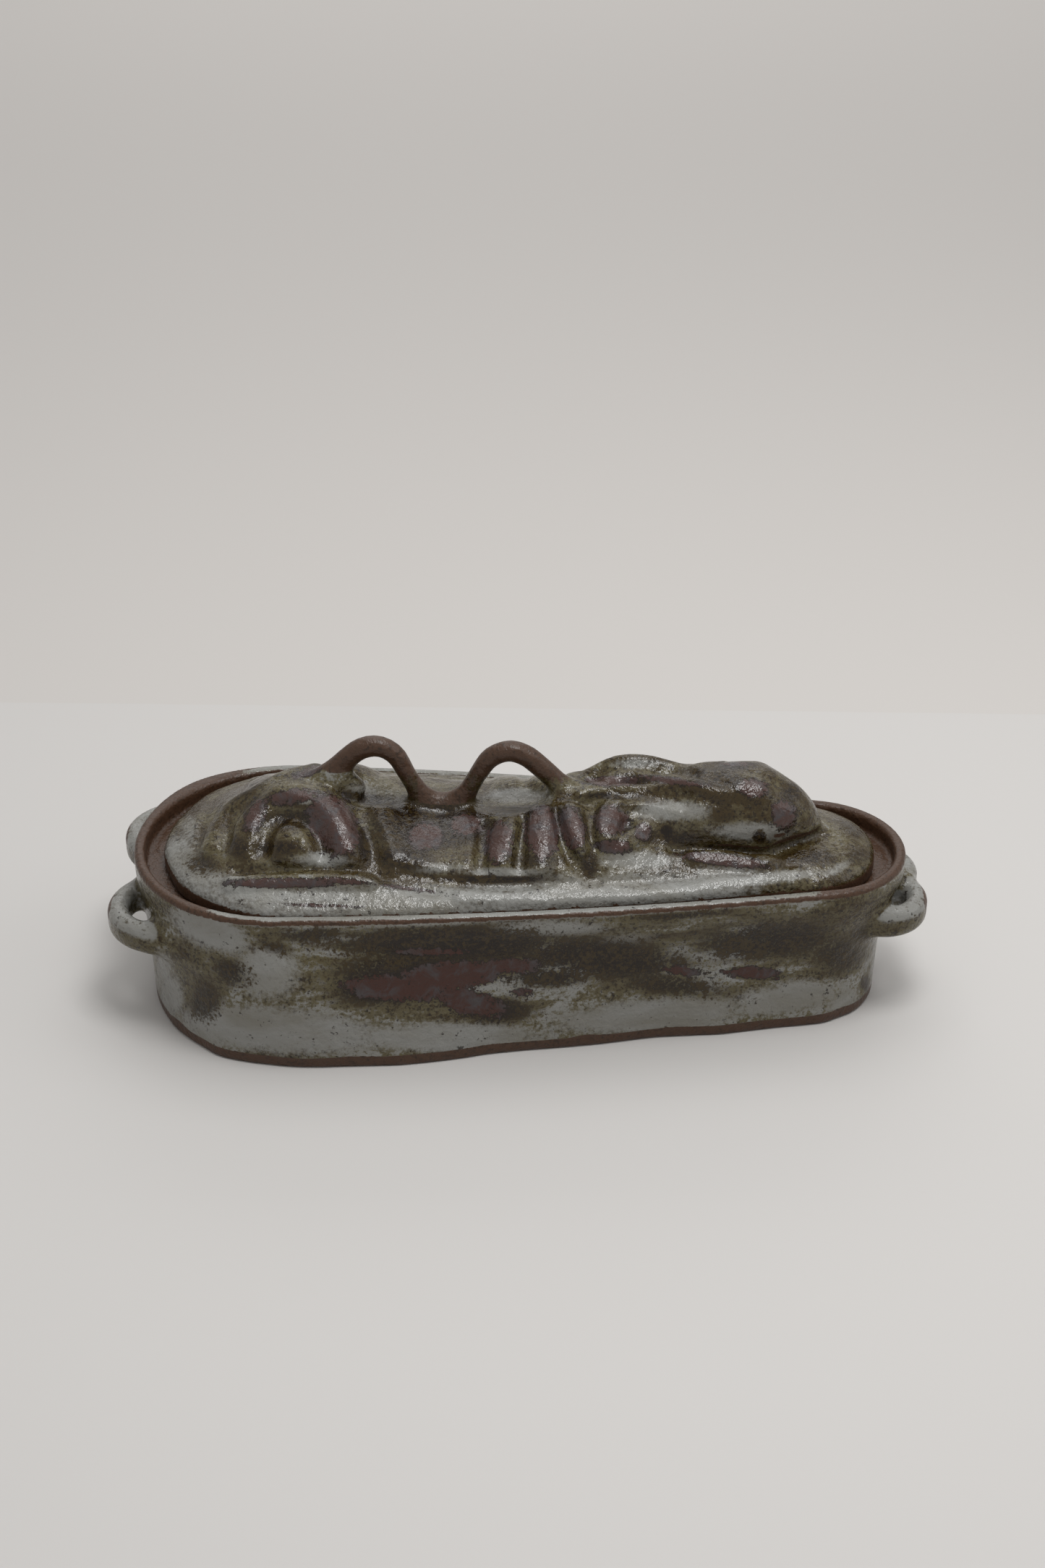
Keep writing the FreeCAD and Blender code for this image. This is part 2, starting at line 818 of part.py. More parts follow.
def build_hollow():
    """The hollow under the lid, one wall inside the plate, the trunk and the head."""
    wall = cell("lid_wall")
    body = doc.addObject("PartDesign::Body", "plate_hollow")
    flange = cell("lid_flange")
    low = lid_outline.inset(flange, flange)
    slope = cell("hollow_slope")
    high = low.inset(slope, slope)
    sections = [
        low.sketch(body, "hollow_foot", ledge_level),
        high.sketch(body, "hollow_top", lid_level + cell("dome_rise") - wall),
    ]
    loft(body, "hollow_loft", "Additive", sections)
    spine = cell("spine_offset")
    trunk = through(
        "trunk_hollow",
        [
            ellipse(
                f"{name}_hollow",
                place,
                spine,
                lid_level,
                cell(f"{name}_half") - cell("back_wall"),
                cell(f"{name}_rise") - cell("back_wall"),
            )
            for name, place in list(TRUNK.items())[1:-1]
        ],
    )
    head = ellipsoid(
        "head_hollow",
        (from_narrow("head_hollow_gap"), spine, lid_level),
        cell("brow_half"),
        cell("brow_half") - wall,
        cell("brow_top") - wall,
        FreeCAD.Rotation(),
    )
    return fuse("lid_hollow", [body, trunk, head])


def box_below(name, level):
    """Everything under a level, to cut the lid's underside flat."""
    solid = doc.addObject("Part::Box", name)
    bind(solid, "Length", cell("rim_length"))
    bind(solid, "Width", cell("rim_length"))
    bind(solid, "Height", level)
    bind(solid, "Placement.Base.x", cell("rim_length") * -0.5)
    bind(solid, "Placement.Base.y", cell("rim_length") * -0.5)
    return solid


def fuse(name, solids):
    feature = doc.addObject("Part::MultiFuse", name)
    feature.Shapes = solids
    return feature


def fuse_in_turn(base, solids):
    """A union made piece by piece, since the carved ridges overlap one another closely."""
    for solid in solids:
        step = doc.addObject("Part::Fuse", f"{solid.Name}_union")
        step.Base = base
        step.Tool = solid
        base = step
    return base


def cut(name, base, tool):
    feature = doc.addObject("Part::Cut", name)
    feature.Base = base
    feature.Tool = tool
    return feature


dish = build_dish()
hare = fuse("hare", [build_plate()] + build_hare())
scooped = cut("scooped_hare", hare, fuse("scoops", scoops()))
handled = fuse("handled_hare", [scooped, build_handle()])
solid_lid = fuse_in_turn(handled, carving(-1) + carving(1))
hollow = fuse("underside", [build_hollow(), box_below("below_lid", ledge_level)])
lid = cut("lid", solid_lid, hollow)
doc.recompute()
for obj in doc.Objects:
    if {"Invalid", "Error"} & set(obj.State):
        raise RuntimeError(f"{obj.Name} failed: {obj.State}")
lid_length = number(lid_outline.left + lid_outline.right)
if abs(lid.Shape.optimalBoundingBox().XLength - lid_length) > 0.1:
    raise RuntimeError("the union of the lid lost its plate")
os.makedirs("parts", exist_ok=True)
for part in (dish, lid):
    if part.Shape.isNull() or not part.Shape.isValid():
        raise RuntimeError(f"{part.Label} has no sound shape")
    part.Shape.exportStep(f"parts/{part.Label}.step")
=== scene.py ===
import bpy
import math
import numpy as np
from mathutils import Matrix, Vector


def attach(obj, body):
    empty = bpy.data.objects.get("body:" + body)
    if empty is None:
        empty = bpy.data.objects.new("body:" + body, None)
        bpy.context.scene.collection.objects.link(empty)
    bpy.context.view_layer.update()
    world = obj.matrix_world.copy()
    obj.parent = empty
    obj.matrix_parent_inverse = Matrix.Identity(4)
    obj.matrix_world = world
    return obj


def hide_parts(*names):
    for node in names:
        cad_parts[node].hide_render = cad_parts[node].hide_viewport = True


# Lidded stoneware terrine with a hare on its lid. Lengths in the modelling part are millimetres.

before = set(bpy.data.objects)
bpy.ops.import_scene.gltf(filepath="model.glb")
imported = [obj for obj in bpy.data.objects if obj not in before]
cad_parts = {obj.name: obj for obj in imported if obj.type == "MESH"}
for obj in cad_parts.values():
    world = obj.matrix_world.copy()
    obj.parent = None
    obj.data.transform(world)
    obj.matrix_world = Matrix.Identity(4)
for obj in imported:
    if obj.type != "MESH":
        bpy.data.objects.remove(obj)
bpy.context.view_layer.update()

MM = 0.001
TINY = 1e-9

# Camera, from the outlines of the rim and the foot in the photograph

CAMERA_PLACE = np.array((24.25, -923.8, 629.3))
CAMERA_TARGET = np.array((1.55, -0.3, 104.9))
CAMERA_LENS = 53.14
SENSOR = 36.0
IMAGE_WIDTH = 1445
IMAGE_HEIGHT = 2168
FOCAL_PIXELS = CAMERA_LENS / SENSOR * IMAGE_HEIGHT


def unit(vector):
    return vector / np.linalg.norm(vector)


FORWARD = unit(CAMERA_TARGET - CAMERA_PLACE)
RIGHTWARD = unit(np.cross(FORWARD, (0, 0, 1)))
UPWARD = np.cross(RIGHTWARD, FORWARD)


def sight_lines(pixels):
    """Directions from the camera through places in the photograph."""
    pixels = np.asarray(pixels, float)
    across = (pixels[:, :1] - IMAGE_WIDTH / 2) * RIGHTWARD
    upward = (IMAGE_HEIGHT / 2 - pixels[:, 1:2]) * UPWARD
    lines = FOCAL_PIXELS * FORWARD + across + upward
    return lines / np.linalg.norm(lines, axis=1, keepdims=True)


SIGHT_START = 700.0
SIGHT_STEPS = 90
SIGHT_CAUTION = 0.6
LONGEST_STEP_BACK = 8
LONGEST_STEP_ON = 30


def land(pixels, field):
    """Where the lines of sight through these places meet the surface of a field."""
    lines = sight_lines(pixels)
    reach = np.full(len(lines), SIGHT_START)
    for _ in range(SIGHT_STEPS):
        places = CAMERA_PLACE + lines * reach[:, None]
        reach += SIGHT_CAUTION * np.clip(field(places), -LONGEST_STEP_BACK, LONGEST_STEP_ON)
    return CAMERA_PLACE + lines * reach[:, None]


def add_camera():
    data = bpy.data.cameras.new("photo_camera")
    data.sensor_fit = "VERTICAL"
    data.sensor_height = SENSOR
    data.lens = CAMERA_LENS
    data.clip_end = 20
    camera = bpy.data.objects.new("photo_camera", data)
    bpy.context.scene.collection.objects.link(camera)
    camera.location = CAMERA_PLACE * MM
    toward = Vector(CAMERA_TARGET - CAMERA_PLACE)
    camera.rotation_euler = toward.to_track_quat("-Z", "Y").to_euler()
    bpy.context.scene.camera = camera


add_camera()

# Shapes as signed distances: negative inside the clay


def meld(first, second, reach):
    """Union with a soft fillet."""
    near = np.maximum(reach - np.abs(first - second), 0) / reach
    return np.minimum(first, second) - near * near * reach / 4


def trim(first, second, reach):
    """What lies in both, with a softened edge."""
    return -meld(-first, -second, reach)


def curve_through(places, values, at):
    """A smooth curve through values at given places, without overshoot between them."""
    places = np.asarray(places, float)
    values = np.asarray(values, float)
    gaps = np.diff(places)
    slopes = np.diff(values) / gaps
    same = slopes[1:] * slopes[:-1] > 0
    inner = np.zeros(len(values) - 2)
    inner[same] = 2 * slopes[1:][same] * slopes[:-1][same] / (slopes[1:][same] + slopes[:-1][same])
    tangents = np.concatenate(([slopes[0]], inner, [slopes[-1]]))
    at = np.clip(at, places[0], places[-1])
    cell = np.clip(np.searchsorted(places, at, side="right") - 1, 0, len(gaps) - 1)
    share = (at - places[cell]) / gaps[cell]
    rise = 3 * share**2 - 2 * share**3
    return (
        values[cell] * (1 - rise)
        + values[cell + 1] * rise
        + gaps[cell] * tangents[cell] * (share**3 - 2 * share**2 + share)
        + gaps[cell] * tangents[cell + 1] * (share**3 - share**2)
    )


def oval(x, y, left, right, wide, narrow, side):
    """Distance from an egg-shaped outline of four arcs; the sizes may be arrays."""
    near = wide - left
    far = right - narrow
    middle = ((side - wide) ** 2 - (side - narrow) ** 2 + far**2 - near**2) / (2 * (far - near))
    depth = np.sqrt((side - wide) ** 2 - (near - middle) ** 2)
    across = np.abs(y)
    angle = np.arctan2(across + depth, x - middle)
    at_side = np.hypot(x - middle, across + depth) - side
    at_wide = np.hypot(x - near, across) - wide
    at_narrow = np.hypot(x - far, across) - narrow
    outer = np.where(angle > np.arctan2(depth, near - middle), at_wide, at_side)
    return np.where(angle < np.arctan2(depth, far - middle), at_narrow, outer)


def ellipsoid(p, centre, radii):
    """Distance from an ellipsoid, close to the true one near its surface."""
    q = p - np.asarray(centre, float)
    radii = np.asarray(radii, float)
    whole = np.linalg.norm(q / radii, axis=1)
    steep = np.linalg.norm(q / radii**2, axis=1)
    return whole * (whole - 1) / np.maximum(steep, TINY)


def nearest_on_path(p, path):
    """Distance from a path of straight pieces, and how far along it the nearest place is, from 0 to 1."""
    best = np.full(len(p), 1e9)
    along = np.zeros(len(p))
    pieces = len(path) - 1
    for index in range(pieces):
        start, piece = path[index], path[index + 1] - path[index]
        share = np.clip((p - start) @ piece / max(piece @ piece, TINY), 0, 1)
        distance = np.linalg.norm(p - start - share[:, None] * piece, axis=1)
        closer = distance < best
        best = np.where(closer, distance, best)
        along = np.where(closer, (index + share) / pieces, along)
    return best, along


def smooth_path(points, count):
    """Points spread along a smooth curve through given ones."""
    points = np.asarray(points, float)
    steps = np.linalg.norm(np.diff(points, axis=0), axis=1)
    places = np.concatenate(([0], np.cumsum(np.sqrt(steps))))
    ends = np.vstack((2 * points[0] - points[1], points, 2 * points[-1] - points[-2]))
    at = np.linspace(0, places[-1], count)
    cell = np.clip(np.searchsorted(places, at, side="right") - 1, 0, len(points) - 2)
    share = ((at - places[cell]) / (places[cell + 1] - places[cell]))[:, None]
    before, start, end, after = ends[cell], ends[cell + 1], ends[cell + 2], ends[cell + 3]
    return (
        start
        + 0.5 * share * (end - before)
        + share**2 * (before - 2.5 * start + 2 * end - 0.5 * after)
        + share**3 * (1.5 * (start - end) + 0.5 * (after - before))
    )


def near_path(p, path, radius):
    """Which points lie in the box around a path, widened by a radius."""
    low = path.min(axis=0) - radius
    high = path.max(axis=0) + radius
    return np.flatnonzero(((p > low) & (p < high)).all(axis=1))


FAR = 22.0


def coil(p, path, radii):
    """Distance from a rolled coil along a path; far from it, only a large number."""
    result = np.full(len(p), FAR)
    close = near_path(p, path, FAR)
    distance, along = nearest_on_path(p[close], path)
    result[close] = np.minimum(FAR, distance - np.interp(along, np.linspace(0, 1, len(radii)), radii))
    return result


def waviness(p, size, seed):
    """A gentle unevenness between about -1 and 1, from a few crossed waves."""
    draw = np.random.default_rng(seed)
    total = np.zeros(len(p))
    for _ in range(5):
        way = draw.normal(size=3)
        way /= np.linalg.norm(way)
        length = size * draw.uniform(0.7, 1.5)
        total += np.sin(p @ way * (2 * math.pi / length) + draw.uniform(0, 2 * math.pi))
    return total / 3


# Sizes. An outline is its left and right reach, and the radii of its wide end, narrow end and sides.

RIM = (180.0, 180.0, 72.2, 43.9, 1530.0)
FOOT = (175.3, 169.1, 80.0, 39.3, 7000.0)
RIM_HEIGHT = 74.2
BAND = 7.0
WALL = 8.0
FLOOR = 9.0
LIP = 5.8
LEDGE_LEVEL = 66.0
LEDGE_FOOT = 58.0
LID_LEVEL = 73.8
LEDGE_SIDE = 8.0
LEDGE_END = 16.0
LID_SIDE_PLAY = 1.1
LID_END_PLAY = 9.2
LID_WALL = 11.0
DOME_RISE = 8.0
DOME_SHOULDER = 22.0
SPINE = -1.0


def inset(outline, sides, ends):
    left, right, wide, narrow, side = outline
    return (left - ends, right - ends, wide - sides, narrow - sides, side - sides)


def between(outline, other, share):
    return tuple(a + (b - a) * share for a, b in zip(outline, other))


MOUTH = inset(RIM, LIP, LIP)
THROAT = inset(MOUTH, LEDGE_SIDE, LEDGE_END)
LID_OUTLINE = inset(MOUTH, LID_SIDE_PLAY, LID_END_PLAY)

# The lid

TRUNK_PLACES = (-147, -134, -112, -88, -62, -36, 2, 34, 72, 112)
TRUNK_HALVES = (20, 34, 43, 48, 48.5, 47, 45, 42, 31, 22)
TRUNK_RISES = (6, 17, 28, 30, 23, 16, 24.5, 28, 18, 5)
HEAD_PLACES = (46, 88, 108, 126, 139)
HEAD_HALVES = (14, 22, 21.5, 15, 8)
HEAD_DEPTHS = (9, 19, 20, 15, 7)
HEAD_TOPS = (25, 39.5, 41, 32.5, 19)

# Middle and half sizes of the scoops under the two arches, and of the swelling at the coil's root

RUMP_SCOOP = ((-66.7, 3, 102.8), (21, 17, 10))
CHEST_SCOOP = ((-4.3, 3, 102.8), (22, 17, 10))
COIL_ROOT = ((-84, 3, 100), (13, 7, 8))

# Reaches of the soft fillets on the lid

PLATE_FILLET = 3.2
TRUNK_FILLET = 9.0
HEAD_FILLET = 7.0
HEAD_END_FILLET = 8.0
SCOOP_FILLET = 4.0
EAR_FILLET = 6.0
ROOT_FILLET = 7.0
COIL_FILLET = 8.0
HOLLOW_FILLET = 3.0
SEAT_FILLET = 2.0


def upright_ellipse(across, upward, half, rise):
    whole = np.hypot(across / half, upward / rise)
    steep = np.hypot(across / half**2, upward / rise**2)
    return whole * (whole - 1) / np.maximum(steep, TINY)


def lid_plate(p, edge):
    share = np.clip(-edge / DOME_SHOULDER, 0, 1)
    dome = p[:, 2] - LID_LEVEL - DOME_RISE * (1 - (1 - share) ** 2)
    return trim(edge, dome, PLATE_FILLET)


def lid_trunk(p):
    x, y, z = p.T
    half = curve_through(TRUNK_PLACES, TRUNK_HALVES, x)
    rise = curve_through(TRUNK_PLACES, TRUNK_RISES, x)
    trunk = upright_ellipse(y - SPINE, z - LID_LEVEL, half, rise)
    past_ends = np.maximum(TRUNK_PLACES[0] - x, x - TRUNK_PLACES[-1])
    return np.maximum(trunk, past_ends)


def lid_head(p):
    x, y, z = p.T
    half = curve_through(HEAD_PLACES, HEAD_HALVES, x)
    deep = curve_through(HEAD_PLACES, HEAD_DEPTHS, x)
    top = curve_through(HEAD_PLACES, HEAD_TOPS, x)
    head = upright_ellipse(y - SPINE, z - LID_LEVEL - top + deep, half, deep)
    past_ends = np.maximum(HEAD_PLACES[0] - x, x - HEAD_PLACES[-1])
    return trim(head, past_ends, HEAD_END_FILLET)


COIL_PATH = smooth_path(
    [
        (-99, 3, 95.5), (-90, 3, 104.5), (-79.5, 3, 115.0), (-72, 3, 120.8), (-64, 3, 121.9),
        (-56.8, 3, 117.5), (-51.8, 3, 108), (-46.5, 3, 98.8), (-41, 3, 94.2), (-35.5, 3, 93),
        (-30, 3, 94.2), (-24, 3, 99.2), (-18.5, 3, 109), (-13, 3, 116.8), (-5, 3, 120.3),
        (2.5, 3, 118.3), (9, 3, 113), (18, 3, 104), (28, 3, 94.5),
    ],
    54,
)
COIL_MIDDLE = -35.5
COIL_RADII = (7.0, 4.8, 4.9, 4.9, 4.6, 4.1, 4.5, 4.6, 4.5, 4.1, 4.6, 4.9, 4.9, 4.8, 6.6)


def lid_base(p, edge=None):
    """The lid before its carving: plate, trunk, head and scoops."""
    if edge is None:
        edge = oval(p[:, 0], p[:, 1], *LID_OUTLINE)
    body = meld(lid_plate(p, edge), lid_trunk(p), TRUNK_FILLET)
    body = meld(body, lid_head(p), HEAD_FILLET)
    scoops = np.minimum(ellipsoid(p, *RUMP_SCOOP), ellipsoid(p, *CHEST_SCOOP))
    return trim(body, -scoops, SCOOP_FILLET)


REAR_EAR = smooth_path(
    [(20, 14, 92), (32, 15.5, 98), (44, 16, 103.2), (56, 15.5, 104.2), (74, 13.5, 101.5), (94, 8, 101)], 24
)
FRONT_EAR = smooth_path(
    [(20, -3, 91.5), (34, -3, 97), (46, -3.5, 100), (60, -4, 99.5), (76, -4, 98), (92, -4, 97.5)], 24
)
REAR_EAR_RADII = (3, 5.5, 7, 7, 6.5, 6.0)
FRONT_EAR_RADII = (3, 5, 6.5, 6.5, 6.5, 6.0)


def ears(p):
    return np.minimum(coil(p, REAR_EAR, REAR_EAR_RADII), coil(p, FRONT_EAR, FRONT_EAR_RADII))


# Carving strokes, traced over the photograph and landed on the lid: radius, height and pixels

STROKES = {
    "haunch band left": (11, 3.0, [(338, 1165), (345, 1132), (372, 1106), (402, 1098)]),
    "haunch band right": (12, 5.0, [(402, 1100), (440, 1110), (466, 1138), (482, 1172)]),
    "haunch recess": (9, -3.4, [(366, 1170), (376, 1138), (404, 1124), (434, 1138), (447, 1170)]),
    "knee": (12, 4.0, [(396, 1165), (412, 1172)]),
    "flank ridge": (7, 3.5, [(292, 1172), (305, 1134), (332, 1108), (380, 1084), (432, 1066)]),
    "flank groove": (5, -2.0, [(315, 1165), (325, 1138), (350, 1112), (390, 1094)]),
    "hind foot": (6, 3.0, [(320, 1222), (380, 1218), (450, 1216), (510, 1217)]),
    "foot groove": (5, -1.8, [(330, 1206), (400, 1204), (480, 1205), (540, 1214), (600, 1232)]),
    "waist groove": (11, -3.2, [(496, 1130), (508, 1160), (520, 1198)]),
    "waist fold": (9, 2.5, [(530, 1122), (536, 1150), (544, 1180)]),
    "belly one": (14, 2.2, [(588, 1140), (590, 1185)]),
    "belly two": (12, 2.2, [(638, 1135), (642, 1185)]),
    "belly crease": (5, -3.5, [(560, 1208), (620, 1217), (700, 1222), (760, 1214)]),
    "rib one": (8, 3.5, [(702, 1140), (690, 1190)]),
    "rib two": (8, 3.5, [(748, 1125), (748, 1205)]),
    "rib three": (7, 3.5, [(786, 1122), (802, 1172)]),
    "rib four": (8, 3.5, [(848, 1116), (836, 1152)]),
    "rib five": (7, 2.8, [(868, 1160), (848, 1170)]),
    "rib six": (6, 2.5, [(892, 1144), (886, 1156)]),
    "rib groove zero": (5, -2.4, [(668, 1140), (664, 1200)]),
    "rib groove one": (5, -2.6, [(724, 1132), (718, 1200)]),
    "rib groove two": (5, -3.0, [(770, 1124), (788, 1180), (812, 1214)]),
    "rib groove three": (5, -3.0, [(818, 1112), (819, 1165), (822, 1212)]),
    "rib groove four": (5, -2.4, [(866, 1140), (840, 1185), (828, 1212)]),
    "ear ridge": (5, 3.5, [(806, 1100), (850, 1079), (900, 1076), (960, 1086), (1000, 1099)]),
    "ear hollow": (6, -3.5, [(812, 1106), (850, 1099), (900, 1098), (945, 1106)]),
    "inner ear": (7, -2.5, [(836, 1064), (870, 1060), (920, 1062), (955, 1070)]),
    "foreleg": (7, 2.8, [(962, 1185), (1000, 1188), (1060, 1197)]),
    "foreleg groove": (3.5, -2.5, [(930, 1174), (1000, 1177), (1068, 1180), (1100, 1166)]),
    "paw": (6, 2.5, [(1050, 1196), (1068, 1192)]),
    "jaw": (4, -3.0, [(1066, 1181), (1098, 1165), (1136, 1152)]),
    "brow": (9, 2.0, [(1020, 1085), (1050, 1095)]),
    "cheek": (9, 1.5, [(1085, 1125), (1080, 1135)]),
    "front fold": (6, 1.5, [(640, 1238), (800, 1236), (960, 1228), (1100, 1212)]),
    "front furrow": (6, -1.2, [(560, 1225), (700, 1231), (840, 1226), (960, 1216)]),
}
BACK_SHARE = 0.3


def side_of(points, back):
    """The same points, or their mirror image on the back of the hare."""
    if not back:
        return points
    mirrored = points.copy()
    mirrored[:, 1] = 2 * SPINE - mirrored[:, 1]
    return mirrored


def landed(strokes, field):
    """Each stroke's path on the lid, on the front and mirrored on the back."""
    names = list(strokes)
    pixels = np.array([pixel for name in names for pixel in strokes[name][-1]], float)
    places = land(pixels, field)
    paths = {}
    first = 0
    for name in names:
        count = len(strokes[name][-1])
        points = places[first : first + count]
        first += count
        for back in (False, True):
            path = side_of(points, back)
            if count > 2:
                path = smooth_path(path, 4 * count)
            paths[name, back] = path
    return paths


STROKE_PATHS = landed(STROKES, lambda p: meld(lid_base(p), ears(p), EAR_FILLET))


def swell(distance, radius, height):
    """A flat-topped bulge, or a rounder groove."""
    share = distance / radius
    return height * np.clip(1 - share ** (3 if height > 0 else 2), 0, 1) ** 2


def carving(p):
    total = np.zeros(len(p))
    for (name, back), path in STROKE_PATHS.items():
        radius, height, _ = STROKES[name]
        height *= BACK_SHARE if back else 1.0
        close = near_path(p, path, radius)
        distance, _ = nearest_on_path(p[close], path)
        total[close] += swell(distance, radius, height)
    return total


LID_UNEVENNESS = 0.35
LID_WAVE = 26
LID_SEED = 3


def lid_shape(p):
    edge = oval(p[:, 0], p[:, 1], *LID_OUTLINE)
    base = lid_base(p, edge)
    body = meld(base, ears(p), EAR_FILLET)
    body = body - carving(p) - LID_UNEVENNESS * waviness(p, LID_WAVE, LID_SEED)
    body = meld(body, ellipsoid(p, *COIL_ROOT), ROOT_FILLET)
    body = meld(body, coil(p, COIL_PATH, COIL_RADII), COIL_FILLET)
    body = trim(body, -np.maximum(base, edge) - LID_WALL, HOLLOW_FILLET)
    return trim(body, LEDGE_LEVEL - p[:, 2], SEAT_FILLET)


# The dish

SHOULDER = (RIM_HEIGHT - BAND) * 0.72
SHOULDER_SHARE = 0.4
WALL_PLACES = (0, SHOULDER * 0.6, SHOULDER, RIM_HEIGHT - BAND, RIM_HEIGHT + 5)
WALL_SHARES = (0, 0.12, SHOULDER_SHARE, 1, 1)

# Each loop: end of the dish, distance of its bow's middle from the round end's, turn, bow radius and level
LOOPS = {
    "front_wide": (-1, 60.0, -24.0, 22.2, 48.0),
    "back_wide": (-1, 61.5, 27.0, 22.2, 56.0),
    "front_narrow": (1, 34.0, -18.0, 16.4, 49.5),
    "back_narrow": (1, 33.4, 24.0, 16.4, 49.5),
}
STRAP_HALF_THICKNESS = 4.9
STRAP_HALF_HEIGHT = 7.4


def loop(p, side, distance, turn, bow, level):
    end_radius = RIM[2] if side < 0 else RIM[3]
    middle_x = side * (RIM[0] - end_radius + distance * math.cos(math.radians(turn)))
    middle_y = distance * math.sin(math.radians(turn))
    flat = np.abs(np.hypot(p[:, 0] - middle_x, p[:, 1] - middle_y) - bow)
    upward = np.maximum(np.abs(p[:, 2] - level) - STRAP_HALF_HEIGHT + STRAP_HALF_THICKNESS, 0)
    return np.hypot(flat, upward) - STRAP_HALF_THICKNESS


TAIL = smooth_path([(-163, -44, 47), (-152, -50.5, 46.5), (-140, -58, 46), (-126, -63.5, 45.5)], 16)
TAIL_RADII = (5.0, 6.0, 5.0, 1.5)

# The front edge of the foot, traced in the photograph

FOOT_EDGE = [
    (216, 1375), (231, 1410), (243, 1425), (260, 1438), (280, 1450), (300, 1461), (340, 1470), (380, 1475),
    (420, 1478), (460, 1478), (500, 1477), (540, 1476), (560, 1475), (600, 1471), (640, 1466), (680, 1460),
    (720, 1456), (780, 1451), (820, 1447), (860, 1442), (900, 1437), (960, 1434), (1000, 1432), (1040, 1427),
    (1080, 1422), (1120, 1418), (1140, 1415), (1160, 1408), (1180, 1400), (1200, 1381),
]
FOOT_DRAWN_IN = 1.0
FOOT_SWOLLEN = 3.0
FOOT_FADE_HEIGHT = 40
FOOT_FADE_DEPTH = 20


def foot_places():
    """Where the front edge of the foot meets the table, and how far it stands outside the even oval."""
    lines = sight_lines(FOOT_EDGE)
    places = CAMERA_PLACE + lines * (-CAMERA_PLACE[2] / lines[:, 2])[:, None]
    return places[:, 0], np.clip(oval(places[:, 0], places[:, 1], *FOOT), -FOOT_DRAWN_IN, FOOT_SWOLLEN)


FOOT_PLACES, FOOT_SWELLS = foot_places()

# The swelling of the rim behind the wide end

SWELLING = 3.0
SWELLING_X = -158
SWELLING_Y = 52
SWELLING_WIDTH = 26

# Unevenness of the wall, and the reaches of the soft fillets on the dish

DISH_UNEVENNESS = 0.5
DISH_WAVE = 90
DISH_SEED = 11
FLATTER_WAVES = (1, 1, 0.4)
RIM_FILLET = 2.6
LOOP_FILLET = 6.0
TAIL_FILLET = 7.0
FOOT_FILLET = 2.0
FLOOR_FILLET = 8.0
GALLERY_FILLET = 2.0
MOUTH_FILLET = 2.4
FLOOR_CORNER = 10
FLOOR_INSET = 3
UNDER_LEDGE = 8


def dish_outside(p):
    """Distance from the outer wall, with the swelling of the rim behind its wide end and of the foot."""
    x, y, z = p.T
    share = curve_through(WALL_PLACES, WALL_SHARES, z)
    wall = oval(x, y, *between(FOOT, RIM, share))
    across, along = (x - SWELLING_X) / SWELLING_WIDTH, (y - SWELLING_Y) / SWELLING_WIDTH
    swelling = np.exp(-(across**2) - along**2)
    low = np.clip(1 - z / FOOT_FADE_HEIGHT, 0, 1)
    front = np.clip(-y / FOOT_FADE_DEPTH, 0, 1)
    foot = curve_through(FOOT_PLACES, FOOT_SWELLS, x) * low * front
    return wall - SWELLING * swelling * np.clip(z / RIM_HEIGHT, 0, 1) - foot


def dish_shape(p):
    x, y, z = p.T
    waves = waviness(p * FLATTER_WAVES, DISH_WAVE, DISH_SEED)
    outside = dish_outside(p) + DISH_UNEVENNESS + DISH_UNEVENNESS * waves
    body = trim(outside, z - RIM_HEIGHT, RIM_FILLET)
    for place in LOOPS.values():
        body = meld(body, loop(p, *place), LOOP_FILLET)
    body = meld(body, coil(p, TAIL, TAIL_RADII), TAIL_FILLET)
    body = trim(body, -z, FOOT_FILLET)
    inner = np.interp(z, (FLOOR, FLOOR + FLOOR_CORNER, LEDGE_FOOT - UNDER_LEDGE, LEDGE_FOOT), (0, 1, 2, 3))
    low = inset(FOOT, WALL + FLOOR_INSET, WALL + FLOOR_INSET)
    middle = inset(FOOT, WALL, WALL)
    high = inset(between(FOOT, RIM, SHOULDER_SHARE), WALL, WALL)
    outlines = np.array((low, middle, high, THROAT))
    sizes = [np.interp(inner, (0, 1, 2, 3), outlines[:, index]) for index in range(5)]
    cavity = trim(oval(x, y, *sizes), FLOOR - z, FLOOR_FILLET)
    gallery = trim(oval(x, y, *MOUTH), LEDGE_LEVEL - z, GALLERY_FILLET)
    return trim(body, -np.minimum(cavity, gallery), MOUTH_FILLET)


# Meshing


CHUNK = 400000


def nodes_of(low, counts, pitch):
    """Places of the grid's nodes."""
    axes = [low[axis] + pitch * np.arange(counts[axis]) for axis in range(3)]
    return np.stack(np.meshgrid(*axes, indexing="ij"), axis=-1).reshape(-1, 3)


def sample(shape, rough, low, high, pitch, band):
    """Values of a shape on a grid, worked out in full only near its rough surface."""
    low = np.asarray(low, float)
    counts = [int((high[axis] - low[axis]) / pitch) + 2 for axis in range(3)]
    grid = nodes_of(low, counts, pitch)
    values = rough(grid)
    close = np.flatnonzero(np.abs(values) < band)
    for chunk in np.array_split(close, max(1, len(close) // CHUNK)):
        values[chunk] = shape(grid[chunk])
    return values.reshape(counts)


